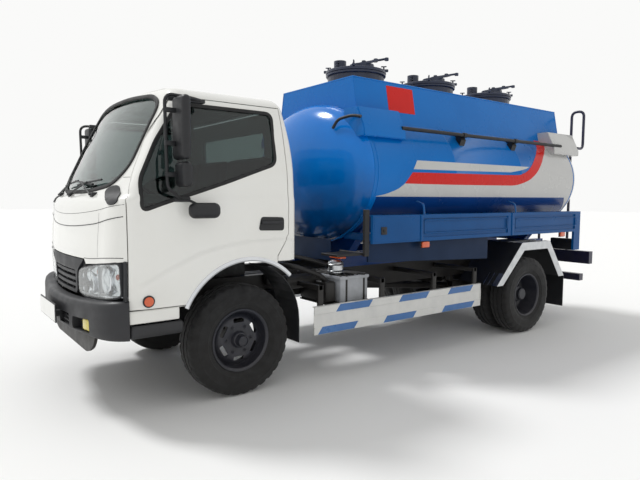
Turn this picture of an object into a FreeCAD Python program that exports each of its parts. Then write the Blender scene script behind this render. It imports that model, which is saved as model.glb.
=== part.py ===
import FreeCAD, Part
import math
import os

import Sketcher

from FreeCAD import Placement, Rotation, Vector

# Small cab-over tanker truck. Millimetres, +Z up, the nose faces -Y and the driver's side is +X.
# The origin is on the ground under the middle of the truck. Places along the truck are named as
# distances from the front axle, and heights are measured from the ground.

doc = FreeCAD.newDocument("TankerTruck")

SIZES = (
    ("WheelBase", 3380, "front axle to rear axle"),
    ("FrontOverhang", 1120, "front axle to the bumper face"),
    ("RearOverhang", 1410, "rear axle to the tip of the underrun bar"),
    ("Gap", 0.3, "seat clearance between pieces that only rest on each other"),
    ("Overrun", 20, "how far a cutting body passes its target"),
    # wheels
    ("TyreRadius", 402, "tyre over the tread"),
    ("TyreWidth", 215, "widest part of the tyre"),
    ("TreadWidth", 168, "flat of the tread"),
    ("TyreBulgeRadius", 318, "radius where the sidewall is widest"),
    ("BeadRadius", 224, "tyre bead over the rim flange"),
    ("RimRadius", 213, "bead seat of the rim"),
    ("RimWidth", 158, "between the rim flanges"),
    ("RimWall", 12, "rim barrel wall"),
    ("FlangeRise", 13, "rim flange above the bead seat"),
    ("FlangeWidth", 10, "thickness of the flange lip"),
    ("FrontWheelX", 727.5, "centre plane of the front wheels"),
    ("TwinInnerX", 613.5, "centre plane of the inner rear tyre"),
    ("TwinOuterX", 858.5, "centre plane of the outer rear tyre"),
    ("HubRadius", 84, "wheel hub"),
    ("HubCapRadius", 62, "hub cap"),
    ("DiscWall", 10, "wheel disc thickness"),
    ("DiscStep", 34, "how far the disc dishes between rim and hub"),
    ("SpindleRadius", 35, "wheel spindle"),
    ("RunningGap", 0.05, "radial clearance of shafts in bores"),
    ("HandHoleWidth", 62, "hand hole in the disc, along the circle"),
    ("HandHoleHeight", 34, "hand hole in the disc, along the radius"),
    ("HandHolePitch", 150, "radius of the hand holes"),
    ("HandHoleCount", 8, "hand holes in a disc"),
    ("TyreSides", 48, "flats round a tyre"),
    ("RimSides", 24, "flats round a rim"),
    ("TankSides", 56, "flats round the tank"),
    ("RoundSides", 16, "flats round a small pipe"),
    ("ArchSides", 40, "flats round a wheel arch"),
    ("CollarSides", 32, "flats round a manhole collar"),
    # frame
    ("RailOuterX", 375, "outer face of a frame rail"),
    ("RailTop", 790, "top of the frame"),
    ("RailHeight", 200, "frame rail depth"),
    ("RailFlange", 65, "frame rail flange"),
    ("RailWall", 8, "frame rail wall"),
    ("RailFront", 860, "rail end ahead of the front axle"),
    ("RailRear", 4600, "rail end behind the front axle"),
    ("CrossHeight", 100, "crossmember depth"),
    ("CrossWidth", 60, "crossmember flange"),
    # front axle and steering
    ("PinX", 635, "king pin from the middle"),
    ("PinRadius", 14, "king pin"),
    ("PinHeight", 190, "knuckle fork over its ears"),
    ("EyeHeight", 90, "axle beam end"),
    ("EyeRadius", 34, "axle beam end"),
    ("BeamDrop", 95, "beam middle below its ends"),
    ("BeamHeight", 80, "beam depth"),
    ("BeamWidth", 66, "beam thickness"),
    ("ForkGap", 0.5, "between a fork ear and the beam end"),
    ("ForkWall", 30, "knuckle wall beside the beam end"),
    ("ArmLength", 118, "steering arm, king pin to tie rod"),
    ("ArmWidth", 34, "steering arm"),
    ("ArmInset", 2, "steering arm inboard of the king pin"),
    ("ArmHeight", 18, "steering arm"),
    ("TieRodRadius", 13, "tie rod"),
    # springs
    ("SpringX", 340, "centre line of the leaf springs"),
    ("SpringWidth", 62, "leaf width"),
    ("SpringPack", 48, "leaf pack at the axle"),
    ("SpringTip", 12, "leaf pack at its ends"),
    ("SpringReach", 560, "half length of a spring"),
    ("HangerWidth", 46, "spring hanger along the frame"),
    # rear axle
    ("AxleTubeRadius", 52, "rear axle housing"),
    ("BanjoRadius", 165, "differential bulge"),
    ("DrumRadius", 160, "brake drum"),
    ("DrumWidth", 90, "brake drum"),
    ("RearTubeX", 500, "end of the rear axle tube"),
    # engine and driveline
    ("EngineWidth", 560, "engine block"),
    ("EngineFront", 560, "engine face ahead of the front axle"),
    ("EngineRear", 330, "engine back face behind the front axle"),
    ("EngineBottom", 455, "engine block underside"),
    ("EngineTop", 930, "engine block top"),
    ("GearboxRear", 980, "gearbox flange behind the front axle"),
    ("GearboxRadius", 150, "gearbox at the engine"),
    ("FlangeRadius", 62, "gearbox output flange"),
    ("ShaftRadius", 38, "propeller shaft"),
    ("DrivelineZ", 620, "gearbox output height"),
    # cab envelope
    ("CabNose", 1020, "front of the cab ahead of the front axle"),
    ("CabBack", 405, "rear wall behind the front axle"),
    ("CabBottom", 720, "lower edge of the cab"),
    ("CabTop", 2180, "top of the roof"),
    ("CabHalfWidth", 914, "half width at the belt"),
    ("CabWall", 50, "door and wall thickness"),
    ("GlassDepth", 8, "glass below the skin"),
    ("GlassWall", 6, "glass thickness"),
    ("ShutGap", 6, "gap round a door"),
    ("BeltZ", 1360, "window sill height"),
    ("RoofLine", 2072, "roof seam above the doors"),
    ("DoorFront", 820, "front shut line ahead of the front axle"),
    ("DoorRear", 336, "rear shut line behind the front axle"),
    ("DoorBottom", 728, "door lower edge"),
    ("HingeX", 912, "door hinge axis from the middle"),
    ("HingeY", 800, "door hinge axis ahead of the front axle"),
    ("HingeRadius", 8, "door hinge knuckle"),
    ("HingeLength", 70, "door hinge knuckle"),
    ("ArchZ", 500, "centre of the wheel arch"),
    ("ArchRadius", 492, "wheel arch"),
    ("TiltY", 900, "cab pivot ahead of the front axle"),
    ("TiltZ", 812, "cab pivot height"),
    ("TiltPinRadius", 14, "cab pivot pin"),
    ("TunnelGap", 20, "engine tunnel clear of the frame and engine"),
    ("DeckZ", 1010, "cab floor over the wheels"),
    ("FootwellZ", 770, "cab floor at the feet"),
    ("FloorWall", 40, "cab floor thickness"),
    ("DeckFront", 470, "seat deck edge ahead of the front axle"),
    # bumper
    ("SteeringRadius", 200, "steering wheel grip circle"),
    ("SteeringGrip", 15, "steering wheel grip"),
    ("BumperTop", 706, "bumper top at the middle"),
    ("BumperBottom", 552, "bumper underside"),
    ("BumperWall", 62, "bumper depth"),
    ("StepTop", 660, "step tread"),
    ("StepRear", 490, "step end ahead of the front axle"),
    ("StepWidth", 170, "step tread"),
    # tank
    ("TankFront", 1228, "front seam behind the front axle"),
    ("TankRear", 4400, "rear seam behind the front axle"),
    ("TankHalfWidth", 865, "tank half width"),
    ("TankHalfHeight", 640, "tank half height"),
    ("TankAxisZ", 1642, "tank centre height"),
    ("HeadDepth", 262, "dish of a tank head"),
    ("SeamWidth", 16, "weld ring along the tank"),
    ("SeamRise", 5, "weld ring above the shell"),
    ("BoxFront", 1255, "spill box front behind the front axle"),
    ("BoxRear", 4480, "spill box rear behind the front axle"),
    ("BoxTopHalf", 539, "spill box half width at its rim"),
    ("BoxBottomHalf", 612, "spill box half width at the tank"),
    ("BoxTop", 2479, "spill box rim"),
    ("BoxBottom", 2094, "spill box meets the tank"),
    ("BoxWall", 12, "spill box plate"),
    ("BoxLip", 34, "rim flange, inwards"),
    ("CollarRadius", 280, "manhole collar"),
    ("CollarWall", 12, "collar plate"),
    ("CollarTop", 2640, "collar rim"),
    ("CollarFloor", 2300, "bottom of the manhole neck"),
    ("CollarFront", 1755, "front manhole behind the front axle"),
    ("CollarRear", 3850, "rear manhole behind the front axle"),
    ("LidRadius", 300, "manhole lid"),
    ("LidWall", 20, "lid plate"),
    ("VentRadius", 62, "breather can"),
    ("VentHeight", 120, "breather can"),
    ("FillRadius", 120, "filler cover on the lid"),
    ("FillHeight", 60, "filler cover"),
    ("LidPinRadius", 10, "lid hinge pin"),
    ("SaddleWidth", 90, "tank saddle along the truck"),
    ("SaddleHalf", 430, "tank saddle half width"),
    ("SillWidth", 80, "subframe sill"),
    # shoulders of the tank
    ("ShoulderX", 815, "outer face of a shoulder box"),
    ("ShoulderTop", 2190, "top of a shoulder box"),
    ("ShoulderBottom", 1925, "bottom of a shoulder box"),
    ("ShoulderFrontStart", 1150, "front shoulder box, front face"),
    ("ShoulderFrontEnd", 1640, "front shoulder box, rear face"),
    ("ShoulderRearStart", 4040, "rear shoulder box, front face"),
    ("ShoulderRearEnd", 4580, "rear shoulder box, rear face"),
    ("ShoulderRailX", 800, "shoulder rail centre"),
    ("ShoulderRailZ", 2032, "shoulder rail centre"),
    ("ShoulderRailRadius", 17, "shoulder rail tube"),
    ("BracketWidth", 10, "rail bracket plate"),
    # side panels and guards
    ("PanelX", 950, "outer face of a side panel"),
    ("PanelTop", 1282, "side panel top"),
    ("PanelBottom", 1049, "side panel bottom"),
    ("PanelWall", 26, "side panel depth"),
    ("PanelFront", 1136, "side panel front end"),
    ("PanelRear", 4425, "side panel rear end"),
    ("PanelReturn", 150, "inward flange on the panel top"),
    ("PanelFrame", 32, "frame round a recess"),
    ("RecessDepth", 12, "depth of a recess"),
    ("PanelTailDrop", 215, "panel tail below its bottom"),
    ("PanelTail", 130, "panel tail along the truck"),
    ("GuardX", 929, "outer face of a side guard"),
    ("GuardTop", 593, "side guard top"),
    ("GuardBottom", 373, "side guard bottom"),
    ("GuardFront", 567, "side guard front end"),
    ("GuardRear", 2606, "side guard rear end"),
    ("GuardRailHeight", 62, "side guard rail"),
    ("GuardWall", 28, "side guard rail depth"),
    ("GuardPostWidth", 50, "side guard post"),
    ("GuardArmHeight", 40, "side guard arm"),
    # rear end
    ("FenderWall", 6, "rear mudguard plate"),
    ("FenderFront", 560, "mudguard foot ahead of the rear axle"),
    ("FenderRear", 700, "mudguard foot behind the rear axle"),
    ("FenderTopFront", 150, "top corner ahead of the rear axle"),
    ("FenderTopRear", 385, "top corner behind the rear axle"),
    ("FenderTop", 962, "mudguard top"),
    ("FenderFoot", 545, "mudguard foot height"),
    ("FenderInnerX", 480, "inner edge of a mudguard"),
    ("FenderOuterX", 962, "outer edge of a mudguard"),
    ("FlapBottom", 205, "mud flap lower edge"),
    ("FlapWall", 10, "mud flap"),
    ("BarTop", 790, "upper underrun bar top"),
    ("BarBottom", 640, "upper underrun bar bottom"),
    ("BarHalf", 930, "underrun bar half length"),
    ("BarDepth", 80, "upper underrun bar"),
    ("LowBarZ", 495, "lower underrun bar centre"),
    ("LowBarHeight", 80, "lower underrun bar"),
    ("LowBarRear", 4580, "lower bar face behind the front axle"),
    ("LadderHalf", 190, "half spacing of the ladder rails"),
    ("LadderRadius", 16, "ladder tube"),
    ("LadderY", 4715, "ladder centre behind the front axle"),
    ("LadderTop", 2485, "top of the ladder hoops"),
    ("LadderX", 450, "middle of the ladder from the middle"),
    ("HoopWidth", 150, "handrail hoop beside the outer rail"),
    ("RungPitch", 300, "ladder rungs"),
    ("LampWidth", 300, "rear lamp cluster"),
    ("LampHeight", 120, "rear lamp cluster"),
    ("LampDepth", 60, "rear lamp cluster"),
    # boxes on the frame
    ("BatteryFront", 800, "battery box front face"),
    ("BatteryRear", 1100, "battery box rear face"),
    ("BatteryBottom", 560, "battery box underside"),
    ("BatteryTop", 830, "battery box top"),
    ("BatteryX", 800, "battery box outer face"),
    ("FuelFront", 1000, "fuel tank front face"),
    ("FuelRear", 1900, "fuel tank rear face"),
    ("FuelBottom", 400, "fuel tank underside"),
    ("FuelTop", 760, "fuel tank top"),
    ("FuelX", 860, "fuel tank outer face"),
    ("ExhaustRadius", 105, "exhaust silencer"),
    ("ExhaustLength", 620, "exhaust silencer"),
    ("OutletRadius", 40, "bore of a discharge outlet"),
    ("OutletWall", 8, "discharge pipe wall"),
    ("OutletDepth", 120, "length of a discharge nozzle"),
    ("OutletPitch", 180, "spacing of the discharge outlets"),
    ("OutletZ", 880, "discharge outlet height"),
    ("OutletX", 900, "outlet mouth from the middle"),
    ("OutletFront", 2440, "first outlet behind the front axle"),
)

sheet = doc.addObject("Spreadsheet::Sheet", "Sizes")
for row, (alias, value, note) in enumerate(SIZES, start=1):
    sheet.set("A%d" % row, alias)
    sheet.set("B%d" % row, str(value))
    sheet.set("C%d" % row, note)
    sheet.setAlias("B%d" % row, alias)
doc.recompute()


class Length:
    """A number together with the expression that yields it in the document."""

    def __init__(self, value, text):
        self.value = value
        self.text = text

    def __add__(self, other):
        return Length(self.value + amount(other), "(%s + %s)" % (self.text, wording(other)))

    def __sub__(self, other):
        return Length(self.value - amount(other), "(%s - %s)" % (self.text, wording(other)))

    def __mul__(self, share):
        return Length(self.value * amount(share), "(%s * %s)" % (self.text, wording(share)))

    def __truediv__(self, share):
        return Length(self.value / amount(share), "(%s / %s)" % (self.text, wording(share)))

    def __neg__(self):
        return Length(-self.value, "(0 - %s)" % self.text)

    def __float__(self):
        return float(self.value)


def amount(number):
    return number.value if isinstance(number, Length) else number


def wording(number):
    return number.text if isinstance(number, Length) else repr(float(number))


class SheetSizes:
    """Looks a size up in the spreadsheet by its alias."""

    def __getattr__(self, alias):
        return Length(float(getattr(sheet, alias)), "Sizes." + alias)


size = SheetSizes()
ZERO = Length(0.0, "0")
axleY = (size.FrontOverhang - size.RearOverhang - size.WheelBase) / 2
rearAxleY = axleY + size.WheelBase


def behind(distance):
    """Y of a place that lies this far behind the front axle."""
    return axleY + distance


def ahead(distance):
    """Y of a place that lies this far ahead of the front axle."""
    return axleY - distance


def bind(item, prop, number):
    """Ties one property of a document object to a size."""
    if isinstance(number, Length):
        item.setExpression(prop, number.text)
    else:
        setattr(item, prop, number)


def put(item, x, y, z):
    """Ties the place of a document object to sizes."""
    for axis, number in (("x", x), ("y", y), ("z", z)):
        if isinstance(number, Length):
            item.setExpression("Placement.Base." + axis, number.text)
    return item


def block(label, xs, ys, zs):
    """A plate or bar between pairs of faces."""
    item = doc.addObject("Part::Box", label)
    bind(item, "Length", xs[1] - xs[0])
    bind(item, "Width", ys[1] - ys[0])
    bind(item, "Height", zs[1] - zs[0])
    return put(item, xs[0], ys[0], zs[0])


TURNS = {
    "X": Rotation(Vector(0, 1, 0), 90),
    "Y": Rotation(Vector(1, 0, 0), -90),
    "Z": Rotation(),
}


def turnedPart(kind, label, axis, x, y, z):
    item = doc.addObject(kind, label)
    item.Placement = Placement(Vector(), TURNS[axis])
    return put(item, x, y, z)


def shaft(label, axis, x, y, z, radius, length):
    """A true cylinder, for what turns in a bore. It starts at a point and runs along an axis."""
    item = turnedPart("Part::Cylinder", label, axis, x, y, z)
    bind(item, "Radius", radius)
    bind(item, "Height", length)
    return item


def pipe(label, axis, x, y, z, radius, length, sides=None):
    """A round bar or pipe in flats, which starts at a point and runs along an axis."""
    item = turnedPart("Part::Prism", label, axis, x, y, z)
    bind(item, "Polygon", sides or size.RoundSides)
    bind(item, "Circumradius", radius)
    bind(item, "Height", length)
    return item


def outline(body, label, plane, points, level):
    """A closed sketch outline on one of the body's own planes, shifted to a level."""
    sketch = body.newObject("Sketcher::SketchObject", label + "_outline")
    role = plane + "_Plane"
    sketch.AttachmentSupport = [
        (item, "") for item in body.Origin.OriginFeatures if item.Role == role
    ]
    sketch.MapMode = "FlatFace"
    shift = -level if plane == "XZ" else level
    sketch.setExpression("AttachmentOffset.Base.z", shift.text)
    flat = [Vector(amount(u), amount(v), 0) for u, v in points]
    count = len(points)
    for index in range(count):
        sketch.addGeometry(Part.LineSegment(flat[index], flat[(index + 1) % count]), False)
    for index in range(count):
        follower = (index + 1) % count
        sketch.addConstraint(Sketcher.Constraint("Coincident", index, 2, follower, 1))
    for index, (u, v) in enumerate(points):
        for kind, number in (("DistanceX", u), ("DistanceY", v)):
            place = sketch.addConstraint(
                Sketcher.Constraint(kind, -1, 1, index, 1, float(amount(number)))
            )
            if isinstance(number, Length):
                sketch.setExpression("Constraints[%d]" % place, number.text)
    return sketch


def prism(label, plane, points, low, high):
    """An outline made into a solid between two levels across its plane."""
    body = doc.addObject("PartDesign::Body", label)
    sketch = outline(body, label, plane, points, high if plane == "XZ" else low)
    pad = body.newObject("PartDesign::Pad", label + "_pad")
    pad.Profile = sketch
    bind(pad, "Length", high - low)
    return body


def ring(station, radius, sides):
    """Corners of one ring of a turned piece, with a flat at its bottom."""
    step = 2 * math.pi / sides
    corners = []
    for index in range(sides):
        angle = (index + 0.5) * step
        corners.append(Vector(station, -radius * math.sin(angle), -radius * math.cos(angle)))
    return corners


def flatFaces(loop):
    """One flat face for a loop of three or four corners, or two where it is twisted."""
    if len(loop) == 4:
        normal = (loop[1] - loop[0]).cross(loop[2] - loop[0])
        if abs(normal.normalize().dot(loop[3] - loop[0])) > 0.0001:
            halves = (loop[:3], [loop[2], loop[3], loop[0]])
            return [Part.Face(Part.makePolygon(half + [half[0]])) for half in halves]
    return [Part.Face(Part.makePolygon(loop + [loop[0]]))]


def skinned(label, rings, closed):
    """A solid whose skin joins rings of corners. A ring of one corner is a tip."""
    faces = []
    pairs = list(zip(rings, rings[1:]))
    if closed:
        pairs.append((rings[-1], rings[0]))
    for low, high in pairs:
        count = max(len(low), len(high))
        if count == 1:
            continue
        for index in range(count):
            follower = (index + 1) % count
            corners = [low[index % len(low)], low[follower % len(low)],
                       high[follower % len(high)], high[index % len(high)]]
            loop = []
            for corner in corners:
                if not loop or corner.distanceToPoint(loop[-1]) > 0:
                    loop.append(corner)
            if loop[0].distanceToPoint(loop[-1]) == 0:
                loop.pop()
            faces += flatFaces(loop)
    if not closed:
        for end in (rings[0], rings[-1]):
            if len(end) > 1:
                faces.append(Part.Face(Part.makePolygon(end + [end[0]])))
    solid = Part.Solid(Part.Shell(faces))
    if solid.Volume < 0:
        solid.reverse()
    return shaped(label, solid)


def turned(label, points, sides, x, y, z):
    """A profile of (x, radius) points turned in flats round an axle along X."""
    count = int(amount(sides))
    rings = []
    for station, radius in points:
        if amount(radius) > 0:
            rings.append(ring(amount(station), amount(radius), count))
        else:
            rings.append([Vector(amount(station), 0, 0)])
    return put(skinned(label, rings, True), x, y, z)


def fused(label, *items):
    item = doc.addObject("Part::MultiFuse", label)
    item.Shapes = list(items)
    item.Refine = False
    return item


def common(label, *items):
    item = doc.addObject("Part::MultiCommon", label)
    item.Shapes = list(items)
    return item


def cut(label, base, tool):
    item = doc.addObject("Part::Cut", label)
    item.Base = base
    item.Tool = tool
    item.Refine = False
    return item


def group(label, *items):
    """Like pieces on one body that don't touch."""
    item = doc.addObject("Part::Compound", label)
    item.Links = list(items)
    return item


def mirrored(label, source):
    """The same piece on the other side of the truck."""
    item = doc.addObject("Part::Mirroring", label)
    item.Source = source
    item.Normal = Vector(1, 0, 0)
    return item


def shaped(label, shape):
    """A piece whose shape is worked out from the sizes by Part's own functions."""
    item = doc.addObject("Part::Feature", label)
    item.Shape = shape
    return item


def point(x, y, z):
    return Vector(float(amount(x)), float(amount(y)), float(amount(z)))


def bar(label, start, end, radius, sides=8):
    """A thin rod in flats between two points."""
    first = point(*start)
    run = point(*end) - first
    turn = Rotation(Vector(0, 0, 1), run)
    corners = []
    for index in range(sides):
        angle = 2 * math.pi * (index + 0.5) / sides
        corners.append(first + turn.multVec(
            Vector(math.cos(angle), math.sin(angle), 0) * amount(radius)))
    face = Part.Face(Part.makePolygon(corners + [corners[0]]))
    return shaped(label, face.extrude(run))


def rodChain(label, radius, *stops):
    """Rods from stop to stop, joined."""
    rods = []
    for index in range(len(stops) - 1):
        rods.append(bar("%s_%d" % (label, index + 1), stops[index], stops[index + 1], radius))
    return rods



nodes = {}


def keep(name, item):
    """Names a finished piece."""
    item.Label = name
    nodes[name] = item
    return item


# Wheels

def tyre(label, x, y):
    half = size.TyreWidth / 2
    tread = size.TreadWidth / 2
    bead = size.RimWidth / 2 - size.FlangeRise * 0.4
    blank = turned(label + "_blank", (
        (-bead, ZERO),
        (-bead, size.BeadRadius),
        (-half, size.TyreBulgeRadius),
        (-tread, size.TyreRadius),
        (tread, size.TyreRadius),
        (half, size.TyreBulgeRadius),
        (bead, size.BeadRadius),
        (bead, ZERO),
    ), size.TyreSides, x, y, size.TyreRadius)
    seat = turned(label + "_seat", (
        (-half, ZERO),
        (-half, size.RimRadius),
        (half, size.RimRadius),
        (half, ZERO),
    ), size.RimSides, x, y, size.TyreRadius)
    return cut(label, blank, seat)


def rimProfile(side, discX, hubIn, hubOut):
    """Rim barrel, dished disc and hub. The side is +1 where the disc dishes outwards."""
    seat = size.RimWidth / 2
    lip = seat + size.FlangeWidth
    barrel = size.RimRadius - size.RimWall
    flange = size.RimRadius + size.FlangeRise
    step = size.DiscStep * side
    return (
        (-lip, barrel),
        (-lip, flange),
        (-seat, flange),
        (-seat, size.RimRadius),
        (seat, size.RimRadius),
        (seat, flange),
        (lip, flange),
        (lip, barrel),
        (discX - step + size.DiscWall, barrel),
        (discX + size.DiscWall, size.HubRadius),
        (hubOut, size.HubCapRadius),
        (hubOut, ZERO),
        (hubIn, ZERO),
        (hubIn, size.HubRadius),
        (discX, size.HubRadius),
        (discX - step, barrel),
    )


def drilled(label, rim, x, discX):
    """Hand holes through the disc of a rim, spaced round the hub."""
    holes = []
    count = int(amount(size.HandHoleCount))
    for index in range(count):
        hole = doc.addObject("Part::Box", "%s_hole_%d" % (label, index + 1))
        bind(hole, "Length", size.DiscStep * 2)
        bind(hole, "Width", size.HandHoleWidth)
        bind(hole, "Height", size.HandHoleHeight)
        angle = 360.0 * index / count
        turn = Rotation(Vector(1, 0, 0), angle)
        corner = Vector(
            amount(discX - size.DiscStep),
            amount(-size.HandHoleWidth / 2),
            amount(size.HandHolePitch - size.HandHoleHeight / 2),
        )
        centre = point(x[0], x[1], size.TyreRadius)
        hole.Placement = Placement(centre, turn) * Placement(corner, Rotation())
        holes.append(hole)
    return cut(label, rim, fused(label + "_holes", *holes))


def bored(label, blank, x, y, start, end):
    """A wheel with the bearing bore for its spindle, between two stations along X."""
    low, high = (start, end) if amount(end) > amount(start) else (end, start)
    return cut(label, blank, shaft(label + "_bore", "X", x + low, y, size.TyreRadius,
                                   size.SpindleRadius + size.RunningGap, high - low))


def wheels():
    frontDisc = size.DiscStep
    hubIn = -size.DiscStep * 0.4
    hubReach = size.TyreWidth / 2 + size.DiscStep / 2
    twinMiddle = (size.TwinInnerX + size.TwinOuterX) / 2
    for side, sign in (("left", 1), ("right", -1)):
        wheelX = size.FrontWheelX * sign
        profile = rimProfile(1, frontDisc, hubIn, hubReach)
        rim = turned("front_rim_blank_" + side, [(u * sign, v) for u, v in profile],
                     size.RimSides, wheelX, axleY, size.TyreRadius)
        holed = drilled("front_rim_cut_" + side, rim, (wheelX, axleY), frontDisc * sign)
        keep("front_rim_" + side, bored("front_rim_bored_" + side, holed, wheelX, axleY,
                                        (hubIn - size.Overrun) * sign,
                                        (size.TyreWidth / 4 + size.RunningGap * 10) * sign))
        keep("front_tyre_" + side, tyre("front_tyre_body_" + side, wheelX, axleY))
        offset = twinMiddle - size.TwinOuterX
        outerX = size.TwinOuterX * sign
        profile = rimProfile(-1, offset, offset + size.DiscWall / 2, size.TyreWidth / 4)
        outer = turned("outer_rim_" + side, [(u * sign, v) for u, v in profile],
                       size.RimSides, outerX, rearAxleY, size.TyreRadius)
        holed = drilled("outer_rim_cut_" + side, outer, (outerX, rearAxleY), offset * sign)
        inner = twinInnerRim(side, sign, twinMiddle - size.TwinInnerX - size.DiscWall)
        pair = fused("rear_rims_pair_" + side, holed, inner)
        keep("rear_rims_" + side, bored(
            "rear_rims_body_" + side, pair, outerX, rearAxleY,
            -(size.TwinOuterX - size.TwinInnerX + size.DrumWidth * 2) * sign,
            (size.RunningGap * 10) * sign))
        keep("rear_tyres_" + side, group(
            "rear_tyres_body_" + side,
            tyre("rear_tyre_outer_" + side, outerX, rearAxleY),
            tyre("rear_tyre_inner_" + side, size.TwinInnerX * sign, rearAxleY)))


def twinInnerRim(side, sign, discX):
    """Inner rear rim with the brake drum that closes it."""
    seat = size.RimWidth / 2
    lip = seat + size.FlangeWidth
    barrel = size.RimRadius - size.RimWall
    flange = size.RimRadius + size.FlangeRise
    profile = (
        (-lip, barrel),
        (-lip, flange),
        (-seat, flange),
        (-seat, size.RimRadius),
        (seat, size.RimRadius),
        (seat, flange),
        (lip, flange),
        (lip, barrel),
        (discX + size.DiscWall, size.DrumRadius),
        (discX + size.DiscWall, ZERO),
        (discX - size.DrumWidth, ZERO),
        (discX - size.DrumWidth, size.DrumRadius),
        (discX, size.DrumRadius),
        (lip - size.DiscWall, barrel),
    )
    return turned("inner_rim_" + side, [(u * sign, v) for u, v in profile], size.RimSides,
                  size.TwinInnerX * sign, rearAxleY, size.TyreRadius)


# Frame

def frameRails():
    inner = size.RailOuterX - size.RailFlange
    web = size.RailOuterX - size.RailWall
    bottom = size.RailTop - size.RailHeight
    left = prism("rail_left", "XZ", (
        (inner, bottom),
        (size.RailOuterX, bottom),
        (size.RailOuterX, size.RailTop),
        (inner, size.RailTop),
        (inner, size.RailTop - size.RailWall),
        (web, size.RailTop - size.RailWall),
        (web, bottom + size.RailWall),
        (inner, bottom + size.RailWall),
    ), ahead(size.RailFront), behind(size.RailRear))
    bracketX = (inner, size.RailOuterX - size.TiltPinRadius * 2 - size.Gap)
    bracket = block("tilt_bracket", bracketX,
                    (ahead(size.TiltY) - size.TiltPinRadius * 1.4,
                     ahead(size.RailFront) + size.FloorWall),
                    (size.RailTop, size.TiltZ + size.TiltPinRadius * 1.4))
    pin = shaft("tilt_pin", "X", bracketX[0] + size.TiltPinRadius, ahead(size.TiltY), size.TiltZ,
                size.TiltPinRadius, size.RailOuterX - bracketX[0] - size.TiltPinRadius)
    left = fused("rail_with_bracket", left, bracket, pin)
    keep("frame_rails", group("frame_rails_pair", left, mirrored("rail_right", left)))


CROSS_SHARES = (0.0, 0.386, 0.56, 0.70, 0.86, 0.985)


def crossmembers():
    web = size.RailOuterX - size.RailWall
    low = size.RailTop - (size.RailHeight + size.CrossHeight) / 2
    high = low + size.CrossHeight
    members = []
    for index, share in enumerate(CROSS_SHARES):
        start = ahead(size.RailFront) + (size.RailFront + size.RailRear) * share
        members.append(prism("crossmember_%d" % (index + 1), "YZ", (
            (start, low),
            (start + size.CrossWidth, low),
            (start + size.CrossWidth, low + size.RailWall),
            (start + size.RailWall, low + size.RailWall),
            (start + size.RailWall, high - size.RailWall),
            (start + size.CrossWidth, high - size.RailWall),
            (start + size.CrossWidth, high),
            (start, high),
        ), -web, web))
    keep("frame_crossmembers", group("crossmember_set", *members))


# Front axle, steering and springs

def frontAxle():
    top = size.TyreRadius + size.EyeHeight / 2
    bottom = size.TyreRadius - size.EyeHeight / 2
    inner = size.SpringX + size.SpringWidth
    low = bottom - size.BeamDrop
    half = (
        (size.PinX, bottom),
        (size.PinX, top),
        (size.PinX - size.EyeRadius * 2, top),
        (inner, low + size.BeamHeight),
    )
    other = [(-u, v) for u, v in reversed(half)]
    beam = prism("axle_beam_bar", "XZ", list(half) + other + [
        (-(size.PinX - size.EyeRadius * 2), bottom),
        (-inner, low),
        (inner, low),
        (size.PinX - size.EyeRadius * 2, bottom),
    ], axleY - size.BeamWidth / 2, axleY + size.BeamWidth / 2)
    eyes = []
    bores = []
    for side, sign in (("left", 1), ("right", -1)):
        eyes.append(pipe("beam_eye_" + side, "Z", size.PinX * sign, axleY, bottom,
                             size.EyeRadius, size.EyeHeight))
        bores.append(shaft("beam_bore_" + side, "Z", size.PinX * sign, axleY,
                              bottom - size.Overrun, size.PinRadius + size.RunningGap,
                              size.EyeHeight + size.Overrun * 2))
    whole = fused("beam_with_eyes", beam, *eyes)
    keep("front_axle_beam", cut("beam_bored", whole, fused("beam_bores", *bores)))


def knuckle(side, sign):
    """Fork, king pin, spindle and steering arm."""
    middle = size.TyreRadius
    low = middle - size.PinHeight / 2
    high = middle + size.PinHeight / 2
    earLow = middle - size.EyeHeight / 2 - size.ForkGap
    earHigh = middle + size.EyeHeight / 2 + size.ForkGap
    pinX = size.PinX * sign
    wallIn = size.EyeRadius + size.ForkWall / 4
    pin = shaft("king_pin_" + side, "Z", pinX, axleY, low, size.PinRadius, high - low)
    lower = pipe("ear_low_" + side, "Z", pinX, axleY, low, size.EyeRadius, earLow - low)
    upper = pipe("ear_high_" + side, "Z", pinX, axleY, earHigh, size.EyeRadius,
                     high - earHigh)
    faces = (size.PinX + wallIn, size.PinX + wallIn + size.ForkWall)
    if sign < 0:
        faces = (-faces[1], -faces[0])
    wall = block("fork_wall_" + side, faces,
                 (axleY - size.EyeRadius, axleY + size.EyeRadius), (low, high))
    bridges = []
    inner = (size.PinX, size.PinX + wallIn)
    if sign < 0:
        inner = (-inner[1], -inner[0])
    for name, zs in (("low", (low, earLow)), ("high", (earHigh, high))):
        bridges.append(block("fork_%s_%s" % (name, side), inner,
                             (axleY - size.EyeRadius, axleY + size.EyeRadius), zs))
    reach = size.FrontWheelX + size.TyreWidth / 4
    start = size.PinX + wallIn + size.ForkWall / 2
    spindle = shaft("spindle_" + side, "X", (start if sign > 0 else -reach), axleY, middle,
                       size.SpindleRadius, reach - start)
    armX = (size.PinX - size.ArmInset - size.ArmWidth, size.PinX - size.ArmInset)
    if sign < 0:
        armX = (-armX[1], -armX[0])
    arm = block("steering_arm_" + side, armX,
                (axleY, axleY + size.ArmLength + size.ArmWidth / 2),
                (low, low + size.ArmHeight))
    keep("knuckle_" + side, fused("knuckle_body_" + side, pin, lower, upper, wall, spindle, arm,
                                  *bridges))


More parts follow.
